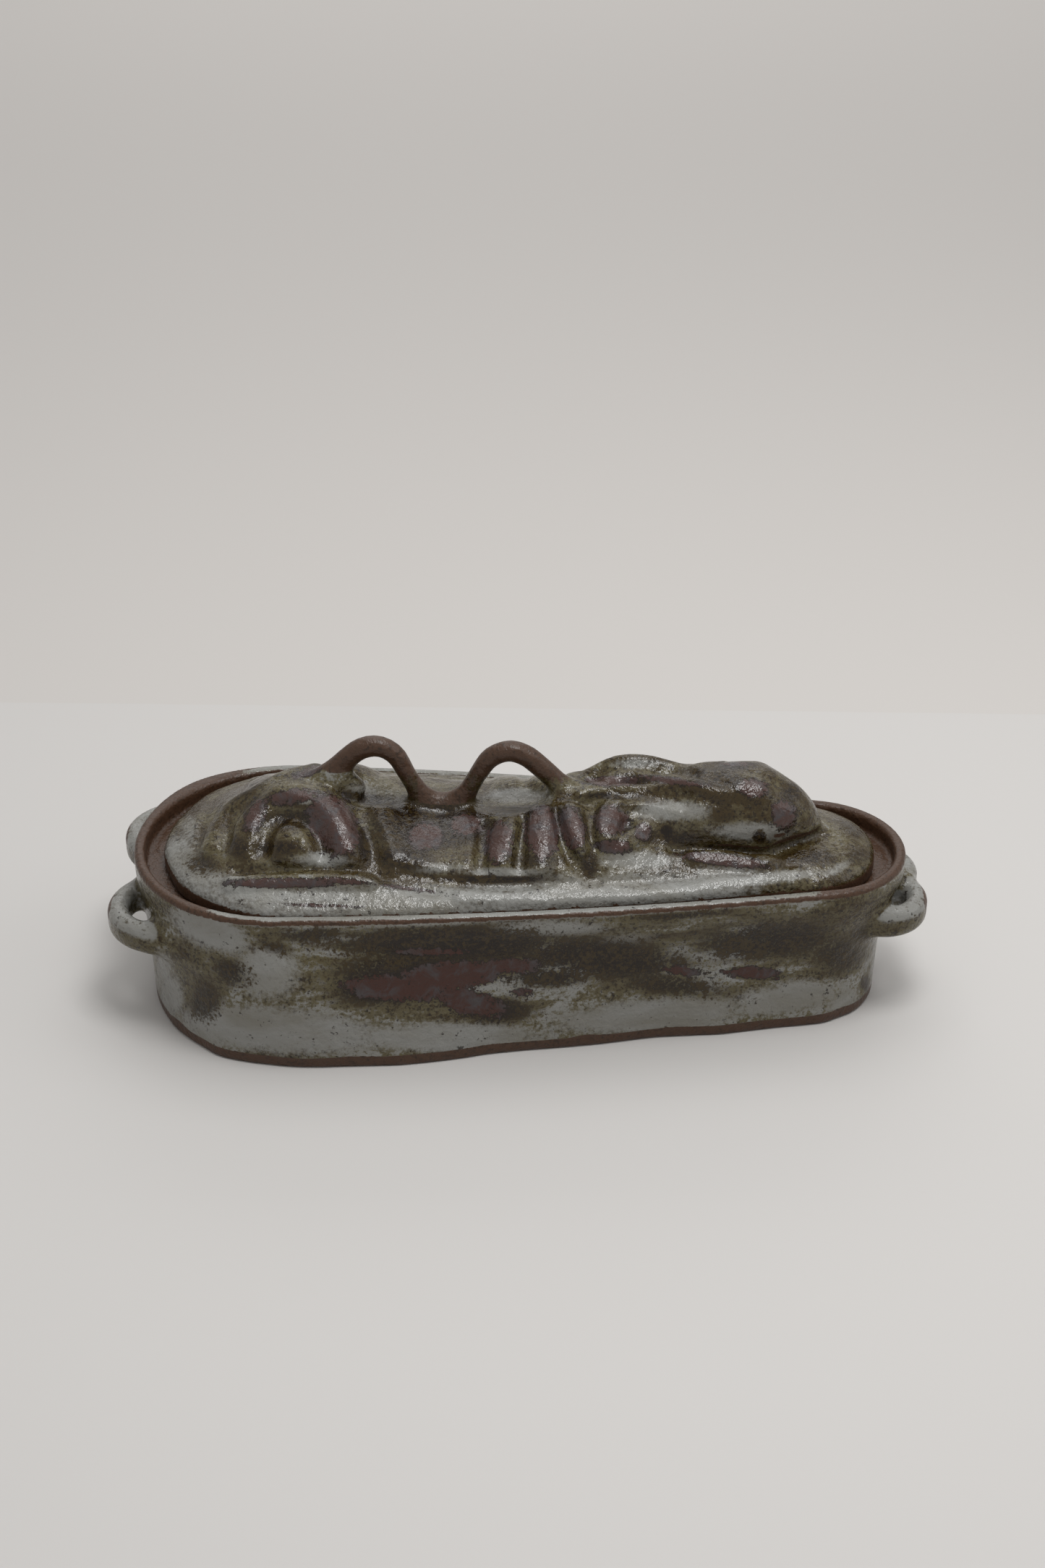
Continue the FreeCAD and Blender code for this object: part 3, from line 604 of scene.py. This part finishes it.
def surface_quads(values, low, pitch):
    """Vertices and quads of the zero level of sampled values, one vertex in each cell that it crosses."""
    inside = values < 0
    wide, deep, tall = np.array(inside.shape) - 1
    corners = sum(
        inside[i : wide + i, j : deep + j, k : tall + k].astype(np.int8)
        for i in (0, 1)
        for j in (0, 1)
        for k in (0, 1)
    )
    crossed = (corners > 0) & (corners < 8)
    cells = np.argwhere(crossed)
    number = np.full(crossed.shape, -1)
    number[crossed] = np.arange(len(cells))
    total = np.zeros((len(cells), 3))
    count = np.zeros(len(cells))
    for axis in range(3):
        step = np.eye(3, dtype=int)[axis]
        u, v = (axis + 1) % 3, (axis + 2) % 3
        for i in (0, 1):
            for j in (0, 1):
                start = np.zeros(3, int)
                start[u], start[v] = i, j
                first = values[tuple((cells + start).T)]
                second = values[tuple((cells + start + step).T)]
                crosses = (first < 0) != (second < 0)
                share = np.where(crosses, first / np.where(crosses, first - second, 1), 0)
                place = start + share[:, None] * step
                total += place * crosses[:, None]
                count += crosses
    vertices = low + (cells + total / count[:, None]) * pitch
    quads = []
    for axis in range(3):
        u, v = (axis + 1) % 3, (axis + 2) % 3
        first = np.take(inside, range(inside.shape[axis] - 1), axis=axis)
        second = np.take(inside, range(1, inside.shape[axis]), axis=axis)
        changes = np.argwhere(first != second)
        outward = first[tuple(changes.T)]
        du, dv = np.eye(3, dtype=int)[u], np.eye(3, dtype=int)[v]
        ring = [changes - du - dv, changes - dv, changes, changes - du]
        quad = np.stack([number[tuple(cell.T)] for cell in ring], axis=1)
        quad[~outward] = quad[~outward][:, ::-1]
        quads.append(quad)
    return vertices, np.concatenate(quads)


SETTLE_ROUNDS = 3
PROBE = 0.15
FLATTEST = 0.05
LONGEST_SHARE = 0.4


def settle(vertices, shape, pitch):
    """Moves vertices towards the exact surface, each round by a share of the pitch at most."""
    for _ in range(SETTLE_ROUNDS):
        value = shape(vertices)
        slope = np.stack([shape(vertices + PROBE * axis) - value for axis in np.eye(3)], 1) / PROBE
        square = np.maximum((slope**2).sum(axis=1), FLATTEST)
        step = -(value / square)[:, None] * slope
        length = np.linalg.norm(step, axis=1, keepdims=True)
        vertices = vertices + step * np.minimum(1, LONGEST_SHARE * pitch / np.maximum(length, TINY))
    return vertices


def build(name, shape, rough, low, high, pitch, band):
    values = sample(shape, rough, low, high, pitch, band)
    vertices, quads = surface_quads(values, np.asarray(low, float), pitch)
    vertices = settle(vertices, shape, pitch)
    mesh = bpy.data.meshes.new(name)
    mesh.from_pydata((vertices * MM).tolist(), [], quads.tolist())
    mesh.validate()
    mesh.shade_smooth()
    piece = bpy.data.objects.new(name, mesh)
    bpy.context.scene.collection.objects.link(piece)
    print(name, len(vertices), "vertices", len(quads), "quads")
    return piece, vertices, quads


def lid_rough(p):
    edge = oval(p[:, 0], p[:, 1], *LID_OUTLINE)
    base = lid_base(p, edge)
    body = np.minimum(np.minimum(base, coil(p, COIL_PATH, COIL_RADII)), ears(p))
    hollow = np.maximum(base, edge) + LID_WALL
    return np.maximum(np.maximum(body, -hollow), LEDGE_LEVEL - p[:, 2])


ROUGH_WALL = 14.0
ROUGH_FLOOR = FLOOR + 2.0


def dish_rough(p):
    outside = dish_outside(p)
    body = np.maximum(outside, np.maximum(p[:, 2] - RIM_HEIGHT, -p[:, 2]))
    for place in LOOPS.values():
        body = np.minimum(body, loop(p, *place))
    hollow = np.maximum(outside + ROUGH_WALL, ROUGH_FLOOR - p[:, 2])
    return np.maximum(body, -hollow)


LID_PITCH = 1.16
DISH_PITCH = 1.59
LID_GRID = ((-168, -68, 63), (168, 68, 131))
DISH_GRID = ((-195, -83, -4), (195, 83, 78))
LID_NEARNESS = 12.0
DISH_NEARNESS = 14.0

lid, lid_points, lid_quads = build("hare_lid", lid_shape, lid_rough, *LID_GRID, LID_PITCH, LID_NEARNESS)
dish, dish_points, dish_quads = build(
    "oval_dish", dish_shape, dish_rough, *DISH_GRID, DISH_PITCH, DISH_NEARNESS
)
for piece, node in ((lid, "lid"), (dish, "dish")):
    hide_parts(node)
    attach(piece, "root")

# Paint: shares for each vertex, worked out from its place


def smooth_step(low, high, value):
    share = np.clip((value - low) / (high - low), 0, 1)
    return share * share * (3 - 2 * share)


def neighbour_sum(values, quads, count):
    """For each vertex, the sum over the quad edges that meet it, and how many there are."""
    total = np.zeros((count, values.shape[1]))
    edges = np.zeros(count)
    for first in range(4):
        start, end = quads[:, first], quads[:, (first + 1) % 4]
        for column in range(values.shape[1]):
            total[:, column] += np.bincount(start, values[end, column], count)
            total[:, column] += np.bincount(end, values[start, column], count)
        edges += np.bincount(start, minlength=count) + np.bincount(end, minlength=count)
    return total, np.maximum(edges, 1)


SMOOTHING_ROUNDS = 4


def bulge(points, quads, pitch):
    """How far each vertex stands out of the surface around it, ridges above zero, and the normals."""
    count = len(points)
    smooth = points
    for _ in range(SMOOTHING_ROUNDS):
        total, edges = neighbour_sum(smooth, quads, count)
        smooth = total / edges[:, None]
    normals = np.zeros((count, 3))
    across = np.cross(points[quads[:, 2]] - points[quads[:, 0]], points[quads[:, 3]] - points[quads[:, 1]])
    for corner in range(4):
        for column in range(3):
            normals[:, column] += np.bincount(quads[:, corner], across[:, column], count)
    normals /= np.maximum(np.linalg.norm(normals, axis=1, keepdims=True), TINY)
    out = ((points - smooth) * normals).sum(axis=1)
    return out / (pitch * math.sqrt(SMOOTHING_ROUNDS)), normals


def photo_places(points):
    """Where points fall in the photograph, in its pixels."""
    away = points - CAMERA_PLACE
    depth = away @ FORWARD
    across = IMAGE_WIDTH / 2 + FOCAL_PIXELS * (away @ RIGHTWARD) / depth
    downward = IMAGE_HEIGHT / 2 - FOCAL_PIXELS * (away @ UPWARD) / depth
    return np.stack((across, downward), 1)


def daubs(places, spots):
    """The strongest of several soft elliptical spots at each place: middle, half sizes, turn and strength."""
    total = np.zeros(len(places))
    for x, y, half_x, half_y, turn, strength in spots:
        c, s = math.cos(math.radians(turn)), math.sin(math.radians(turn))
        dx, dy = places[:, 0] - x, places[:, 1] - y
        u, v = (c * dx + s * dy) / half_x, (c * dy - s * dx) / half_y
        total = np.maximum(total, strength * np.exp(-((u * u + v * v) ** 1.4)))
    return total


def add_paint(piece, shares):
    for name, values in shares.items():
        layer = piece.data.attributes.new(name, "FLOAT", "POINT")
        layer.data.foreach_set("value", np.asarray(values, np.float32))


# Soft spots on the front, as middle, half sizes, turn and strength in the photograph. On the lid some dark
# spots are painted shade and some pale spots are painted sheen.

DISH_DARK_SPOTS = [
    (620, 1305, 190, 30, 0, 0.9), (830, 1325, 150, 34, 4, 0.85), (560, 1345, 120, 36, 0, 0.8),
    (1060, 1300, 120, 34, -4, 0.8), (690, 1396, 60, 20, 0, 0.8), (320, 1345, 34, 22, 20, 0.75),
    (520, 1372, 70, 24, 0, 0.8), (430, 1292, 60, 16, 0, 0.7), (1160, 1320, 46, 34, 0, 0.7),
    (930, 1362, 90, 18, 6, 0.7),
    (950, 1262, 90, 12, -6, 0.75), (284, 1385, 26, 34, 10, 0.75), (1190, 1290, 20, 20, 0, 0.6),
    (760, 1352, 70, 16, 0, 0.8), (1196, 1360, 8, 14, 0, 0.8), (380, 1310, 30, 12, 20, 0.6),
]
DISH_RUST_SPOTS = [
    (545, 1366, 80, 20, 4, 0.9), (620, 1350, 80, 22, -6, 0.95), (650, 1386, 56, 20, 14, 0.85),
    (700, 1336, 50, 12, -4, 0.8), (600, 1316, 70, 6, 0, 0.7), (940, 1342, 30, 8, 6, 0.75),
    (1040, 1345, 44, 10, 4, 0.85), (724, 1336, 22, 12, 4, 0.7), (722, 1372, 20, 8, 0, 0.6),
]
DISH_PALE_SPOTS = [
    (380, 1425, 170, 34, 4, 1.0), (620, 1435, 160, 22, 0, 0.95), (900, 1405, 150, 26, -4, 0.95),
    (1090, 1380, 90, 24, -8, 0.85), (370, 1345, 50, 40, 0, 0.85), (760, 1284, 90, 12, 0, 0.8),
    (235, 1380, 20, 40, 0, 0.9), (290, 1285, 60, 26, 25, 1.0), (560, 1276, 120, 8, 0, 0.7),
    (225, 1340, 14, 24, 0, 0.8), (1165, 1385, 30, 18, -30, 0.8), (860, 1300, 50, 12, -4, 0.5),
]
LID_CLAY_SPOTS = [
    (460, 1138, 34, 46, -28, 1.0), (474, 1160, 26, 26, 0, 0.9), (405, 1102, 42, 12, -6, 0.8),
    (352, 1128, 16, 30, 24, 0.75), (588, 1156, 26, 20, 0, 0.95), (645, 1140, 26, 18, 0, 0.85),
    (690, 1165, 20, 34, 8, 0.95), (750, 1150, 26, 40, 0, 1.0), (792, 1146, 18, 32, -14, 1.0),
    (846, 1134, 26, 22, 0, 1.0), (850, 1170, 28, 10, 0, 0.9), (890, 1150, 12, 13, 0, 0.9),
    (850, 1080, 46, 7, 0, 1.0), (930, 1080, 60, 6, 8, 0.8), (1042, 1090, 26, 14, 10, 0.9),
    (1084, 1126, 18, 24, -10, 0.9), (1000, 1189, 66, 9, 7, 1.0), (390, 1221, 80, 7, 0, 1.0),
    (476, 1218, 40, 5, 6, 0.8), (430, 1066, 34, 7, -20, 0.7), (1020, 1056, 34, 7, 0, 0.6),
    (560, 1228, 60, 4, 8, 0.6), (440, 1252, 60, 3, 2, 0.7),
]
# pale glaze, and painted sheen along the front of the lid's plate
LID_PALE_AND_SHEEN_SPOTS = [
    (560, 1240, 220, 11, 0, 1.0), (820, 1238, 220, 12, -2, 1.0), (360, 1236, 90, 12, 6, 0.9),
    (610, 1200, 50, 9, 0, 0.6), (422, 1106, 16, 8, 0, 0.8), (262, 1150, 16, 30, 0, 0.5),
    (930, 1122, 60, 16, 0, 0.8), (500, 1094, 26, 12, 0, 0.6), (715, 1100, 44, 12, 0, 0.8),
    (1040, 1150, 60, 14, 0, 0.8), (985, 1222, 120, 9, -4, 1.0), (445, 1188, 40, 12, 0, 0.8),
    (880, 1056, 44, 8, 0, 0.6), (700, 1206, 60, 8, 0, 0.8), (880, 1190, 60, 14, 0, 0.8),
    (1080, 1212, 60, 9, -6, 0.8), (1160, 1200, 30, 8, -30, 0.6),
]
# partly dark glaze, partly painted shade in the belly crease, the grooves, the haunch recess, under the jaw
# and under the front ear
LID_DARK_AND_SHADE_SPOTS = [
    (850, 1100, 46, 6, 0, 1.0), (505, 1170, 14, 34, -10, 0.9), (815, 1196, 14, 24, 0, 0.8),
    (1120, 1185, 50, 12, 0, 0.8), (1175, 1135, 40, 22, 40, 0.6), (1185, 1185, 24, 16, 0, 0.6),
    (680, 1216, 90, 6, 0, 1.0), (280, 1195, 30, 18, 0, 0.7),
    (385, 1172, 40, 12, 0, 0.85), (1050, 1157, 10, 9, 0, 1.2), (922, 1150, 10, 10, 0, 1.2),
    (560, 1126, 60, 22, 8, 0.95), (600, 1142, 110, 38, 0, 0.95), (560, 1184, 50, 22, 0, 0.85),
    (700, 1122, 80, 9, -4, 0.95), (400, 1135, 40, 16, 0, 0.85), (520, 1108, 60, 10, 12, 0.9),
    (990, 1075, 60, 16, 10, 0.8), (1010, 1060, 30, 9, 0, 0.8), (1095, 1095, 20, 16, 40, 0.8),
    (930, 1160, 60, 10, 0, 0.8), (345, 1085, 50, 14, -30, 0.7), (770, 1130, 60, 9, 0, 0.7),
    (1000, 1125, 26, 14, 0, 0.6), (740, 1190, 60, 16, 0, 0.6), (330, 1170, 20, 20, 0, 0.7),
]


def paint_of(points, quads, pitch):
    """What both pieces' paint starts from: bulge, normals, places in the photograph and facing the camera."""
    out, normals = bulge(points, quads, pitch)
    seen = photo_places(points)
    away = CAMERA_PLACE - points
    facing = (normals * away).sum(axis=1) / np.linalg.norm(away, axis=1)
    return out, normals, seen, smooth_step(0.0, 0.25, facing)


def paint_dish(points, quads):
    out, normals, seen, facing = paint_of(points, quads, DISH_PITCH)
    x, y, z = points.T
    rim = oval(x, y, *RIM)
    mouth = oval(x, y, *MOUTH)
    high = smooth_step(RIM_HEIGHT - 3.5, RIM_HEIGHT - 1.5, z)
    front = facing * smooth_step(20, 0, y)
    straps = np.minimum.reduce([loop(points, *place) for place in LOOPS.values()])
    on_strap = smooth_step(1.5, 0.2, straps)
    foot_line = 5.7 + 1.0 * waviness(points, 34, 5)
    gallery = (mouth < 0.3) & (z > LEDGE_FOOT - 4)
    outer_corner = high * smooth_step(-2.0, -1.2, rim)
    inner_corner = high * smooth_step(0.9, 0.4, mouth)
    lip_glazed = 0.4 + 0.6 * smooth_step(150, 120, np.abs(x))
    bare = np.maximum.reduce(
        [
            smooth_step(foot_line + 0.7, foot_line - 0.7, z),
            1.0 * gallery,
            0.9 * outer_corner,
            1.0 * inner_corner,
            0.75 * on_strap * smooth_step(185.0, 189.0, np.abs(x)) * smooth_step(-0.4, 0.2, normals[:, 2]),
            high * (1 - lip_glazed) * 1.5,
        ]
    )
    low = smooth_step(26, 10, z)
    pale = np.maximum(front * daubs(seen, DISH_PALE_SPOTS), 0.6 * low * (1 - front))
    pale = np.maximum(pale, high * (rim > -5.0) * lip_glazed)
    pale = np.maximum(pale, 1.1 * on_strap * smooth_step(-0.1, 0.4, normals[:, 2]))
    dark = np.maximum(front * daubs(seen, DISH_DARK_SPOTS), 0.5 * smooth_step(18, 50, z) * (1 - front))
    dark = (dark * (1 - on_strap) + 0.2 * on_strap) * (1 - high)
    rust = front * daubs(seen, DISH_RUST_SPOTS)
    return {"bare": bare, "pale": pale, "dark": dark, "rust": rust, "ridge": out}


def paint_lid(points, quads):
    out, normals, seen, facing = paint_of(points, quads, LID_PITCH)
    x, y, z = points.T
    edge = oval(x, y, *LID_OUTLINE)
    front = facing * smooth_step(30, 18, y)
    handle = smooth_step(1.8, 0.2, coil(points, COIL_PATH, COIL_RADII))
    under = (normals[:, 2] < -0.3) & (z < LID_LEVEL + 25) | (z < LID_LEVEL - 2)
    bare = np.maximum.reduce(
        [
            1.0 * under,
            smooth_step(-1.0, -0.3, edge) * (z < LID_LEVEL - 1),
            handle * smooth_step(0, 8, z - np.where(np.abs(x - COIL_MIDDLE) < 16, 90, 100))
            * (0.5 + 0.5 * np.maximum(smooth_step(108, 115, z), np.abs(x - COIL_MIDDLE) < 11)),
        ]
    )
    clay = np.maximum(front * daubs(seen, LID_CLAY_SPOTS), 0.6 * smooth_step(0.25, 0.7, out) * (1 - handle))
    clay = np.maximum(clay, 0.5 * smooth_step(0.0, 0.5, out) * smooth_step(5, 12, y))
    # pale glaze with painted sheen along the front edge of the lid's plate
    pale_rim_and_sheen = 0.6 * smooth_step(-18, -8, edge) * smooth_step(12, -16, y) * smooth_step(125, 95, x)
    pale = np.maximum(front * daubs(seen, LID_PALE_AND_SHEEN_SPOTS), pale_rim_and_sheen)
    # painted shade from the dark spots together with dark glaze, and darker in grooves
    dark = np.maximum(front * daubs(seen, LID_DARK_AND_SHADE_SPOTS), smooth_step(-0.1, -0.6, out))
    return {"bare": bare, "pale": pale, "dark": dark, "rust": clay, "ridge": out}


add_paint(lid, paint_lid(lid_points, lid_quads))
add_paint(dish, paint_dish(dish_points, dish_quads))

# Materials


class Weave:
    """Builds one material's nodes."""

    def __init__(self, name):
        self.material = bpy.data.materials.new(name)
        self.material.use_nodes = True
        self.nodes = self.material.node_tree.nodes
        self.links = self.material.node_tree.links
        self.shader = self.nodes["Principled BSDF"]

    def node(self, kind, **settings):
        node = self.nodes.new(kind)
        for key, value in settings.items():
            setattr(node, key, value)
        return node

    def feed(self, source, socket):
        if isinstance(source, bpy.types.NodeSocket):
            self.links.new(source, socket)
        else:
            socket.default_value = source

    def attribute(self, name):
        return self.node("ShaderNodeAttribute", attribute_name=name).outputs["Fac"]

    def math(self, operation, first, second=0.0, clamp=False):
        node = self.node("ShaderNodeMath", operation=operation, use_clamp=clamp)
        self.feed(first, node.inputs[0])
        self.feed(second, node.inputs[1])
        return node.outputs[0]

    def place(self, stretch=(1, 1, 1), shift=(0, 0, 0)):
        mapping = self.node("ShaderNodeMapping")
        mapping.inputs["Scale"].default_value = stretch
        mapping.inputs["Location"].default_value = shift
        self.links.new(self.node("ShaderNodeTexCoord").outputs["Object"], mapping.inputs["Vector"])
        return mapping.outputs["Vector"]

    def noise(self, size, detail=2.0, roughness=0.5, stretch=(1, 1, 1), shift=(0, 0, 0), warp=0.0):
        """A noise whose lumps are about as wide as the size in millimetres."""
        node = self.node("ShaderNodeTexNoise")
        node.inputs["Scale"].default_value = 1000.0 / size
        node.inputs["Detail"].default_value = detail
        node.inputs["Roughness"].default_value = roughness
        node.inputs["Distortion"].default_value = warp
        self.links.new(self.place(stretch, shift), node.inputs["Vector"])
        return node.outputs["Fac"]

    def ramp(self, value, low, high, start=0.0, end=1.0):
        node = self.node("ShaderNodeMapRange", interpolation_type="SMOOTHSTEP")
        self.feed(value, node.inputs["Value"])
        node.inputs["From Min"].default_value = low
        node.inputs["From Max"].default_value = high
        node.inputs["To Min"].default_value = start
        node.inputs["To Max"].default_value = end
        return node.outputs["Result"]

    def mix(self, share, first, second):
        node = self.node("ShaderNodeMix", data_type="RGBA")
        self.feed(share, node.inputs[0])
        self.feed(first if isinstance(first, bpy.types.NodeSocket) else (*first, 1), node.inputs[6])
        self.feed(second if isinstance(second, bpy.types.NodeSocket) else (*second, 1), node.inputs[7])
        return node.outputs[2]


PALE_BLUE = (0.245, 0.245, 0.23)
PALE_GREY = (0.19, 0.182, 0.156)
GREY_GREEN = (0.102, 0.085, 0.043)
OLIVE = (0.042, 0.027, 0.008)
DEEP_BROWN = (0.010, 0.005, 0.002)
RUST = (0.050, 0.017, 0.011)
CLAY = (0.060, 0.031, 0.025)
PATCH_GREY = (0.056, 0.049, 0.051)
BARE_CLAY = (0.066, 0.033, 0.018)
DARK_CLAY = (0.036, 0.019, 0.010)


def ash_glaze(name, patch_colour, pale_from, shine):
    w = Weave(name)
    clouds = w.noise(34, 4, 0.6, stretch=(0.6, 1, 1.3), warp=0.8)
    blotches = w.noise(9, 4, 0.65, shift=(3, 1, 2), warp=0.6)
    speckle = w.noise(2.0, 3, 0.7, shift=(1, 4, 2))
    grain = w.noise(0.9, 1, 0.5, shift=(5, 2, 1))
    streaks = w.noise(7, 3, 0.6, stretch=(0.22, 0.5, 1.6), shift=(2, 5, 1))
    uneven = w.math("ADD", w.math("MULTIPLY", blotches, 0.5), w.math("MULTIPLY", speckle, 0.8))
    uneven = w.math("SUBTRACT", uneven, 0.65)

    def painted(attribute, softness, raggedness, middle=0.5):
        """An attribute with its edge broken up."""
        ragged = w.math("ADD", w.attribute(attribute), w.math("MULTIPLY", uneven, raggedness))
        return w.ramp(ragged, middle - softness, middle + softness)

    field = w.math("ADD", clouds, w.math("MULTIPLY", w.math("SUBTRACT", streaks, 0.5), 0.4))
    field = w.math("ADD", field, w.math("MULTIPLY", uneven, 0.8))
    base = w.mix(w.ramp(field, pale_from - 0.22, pale_from), OLIVE, GREY_GREEN)
    base = w.mix(w.ramp(field, pale_from, pale_from + 0.16), base, PALE_BLUE)
    fleck = w.ramp(w.noise(1.7, 2, 0.6, shift=(9, 3, 4)), 0.53, 0.63)
    flecked = w.math("MULTIPLY", fleck, w.ramp(field, pale_from + 0.12, pale_from - 0.1))
    base = w.mix(w.math("MULTIPLY", flecked, 0.75), base, DEEP_BROWN)
    veil = w.mix(w.ramp(clouds, 0.35, 0.7), PALE_BLUE, PALE_GREY)
    colour = w.mix(painted("pale", 0.3, 1.2, 0.45), base, veil)
    # dark pools of glaze, and on the lid painted shade, wherever 'dark' is painted
    dark_pools_and_shade = w.mix(w.ramp(uneven, -0.06, 0.1), DEEP_BROWN, OLIVE)
    colour = w.mix(painted("dark", 0.2, 2.2, 0.46), colour, dark_pools_and_shade)
    specks = w.ramp(w.noise(4.5, 3, 0.7, shift=(7, 1, 5)), 0.63, 0.7)
    colour = w.mix(w.math("MULTIPLY", specks, 0.85), colour, DEEP_BROWN)
    patch = w.mix(w.ramp(blotches, 0.45, 0.7), patch_colour, PATCH_GREY)
    around_patch = painted("rust", 0.08, 1.7, 0.36)
    colour = w.mix(around_patch, colour, DEEP_BROWN)
    colour = w.mix(painted("rust", 0.06, 1.7, 0.5), colour, patch)
    ragged_bare = w.math("ADD", w.attribute("bare"), w.math("MULTIPLY", uneven, 0.7))
    bare = w.ramp(ragged_bare, 0.42, 0.58)
    bare_colour = w.mix(w.ramp(speckle, 0.5, 0.68), BARE_CLAY, DARK_CLAY)
    colour = w.mix(bare, colour, bare_colour)
    shade = w.ramp(w.attribute("ridge"), -0.8, 0.0, 0.45, 1.0)
    grey = w.node("ShaderNodeCombineColor")
    for socket in grey.inputs[:3]:
        w.feed(shade, socket)
    darker = w.node("ShaderNodeMix", data_type="RGBA", blend_type="MULTIPLY")
    darker.inputs[0].default_value = 1.0
    w.feed(colour, darker.inputs[6])
    w.feed(grey.outputs[0], darker.inputs[7])
    w.feed(darker.outputs[2], w.shader.inputs["Base Color"])
    roughness = w.mix(bare, (0.16, 0.16, 0.16), (0.36, 0.36, 0.36))
    w.feed(roughness, w.shader.inputs["Roughness"])
    w.shader.inputs["Specular IOR Level"].default_value = shine
    bump = w.node("ShaderNodeBump")
    bump.inputs["Strength"].default_value = 0.5
    bump.inputs["Distance"].default_value = 0.0008
    height = w.math("ADD", w.math("MULTIPLY", speckle, 0.5), w.math("MULTIPLY", grain, 0.12))
    height = w.math("ADD", height, w.math("MULTIPLY", w.noise(5, 3, 0.6, shift=(2, 2, 8)), 2.6))
    w.feed(height, bump.inputs["Height"])
    w.feed(bump.outputs["Normal"], w.shader.inputs["Normal"])
    return w.material


lid.data.materials.append(ash_glaze("hare_glaze", CLAY, 0.61, 0.46))
dish.data.materials.append(ash_glaze("dish_glaze", RUST, 0.49, 0.38))


def plain(name, colour, roughness):
    material = bpy.data.materials.new(name)
    material.use_nodes = True
    shader = material.node_tree.nodes["Principled BSDF"]
    shader.inputs["Base Color"].default_value = (*colour, 1)
    shader.inputs["Roughness"].default_value = roughness
    return material


# Floor and lights


def add_sheet(name, low, high, level, colour):
    mesh = bpy.data.meshes.new(name)
    around = ((low[0], low[1]), (high[0], low[1]), (high[0], high[1]), (low[0], high[1]))
    mesh.from_pydata([(*corner, level) for corner in around], [], [(0, 1, 2, 3)])
    sheet = bpy.data.objects.new(name, mesh)
    bpy.context.scene.collection.objects.link(sheet)
    mesh.materials.append(plain(name, colour, 0.7))


def add_light(name, place, target, size, power):
    data = bpy.data.lights.new(name, "AREA")
    data.shape = "RECTANGLE"
    data.size, data.size_y = size
    data.energy = power
    light = bpy.data.objects.new(name, data)
    bpy.context.scene.collection.objects.link(light)
    light.location = place
    toward = Vector(target) - Vector(place)
    light.rotation_euler = toward.to_track_quat("-Z", "Y").to_euler()


TABLE_END = 0.274
TABLE_LAP = 0.01
BACKDROP_LEVEL = -0.0008
add_sheet("table", (-3, -3), (3, TABLE_END), 0.0, (0.60, 0.585, 0.57))
add_sheet("backdrop", (-3, TABLE_END - TABLE_LAP), (3, 4), BACKDROP_LEVEL, (0.59, 0.567, 0.545))
add_light("key", (0.2, -0.22, 1.2), (0, 0, 0.05), (0.42, 0.42), 5.8)
add_light("overhead", (0.1, 0.5, 1.6), (0, 0.1, 0.05), (1.6, 0.9), 6.5)
add_light("right_window", (1.3, 0.0, 0.9), (0, 0, 0.05), (0.9, 0.9), 2.6)
add_light("far_overhead", (0, 2.8, 1.6), (0, 2.7, 0), (3.0, 1.6), 20)
world = bpy.data.worlds.new("studio")
bpy.context.scene.world = world
world.use_nodes = True
world.node_tree.nodes["Background"].inputs["Color"].default_value = (1.0, 0.985, 0.965, 1)
world.node_tree.nodes["Background"].inputs["Strength"].default_value = 0.44
bpy.context.scene.view_settings.view_transform = "Standard"
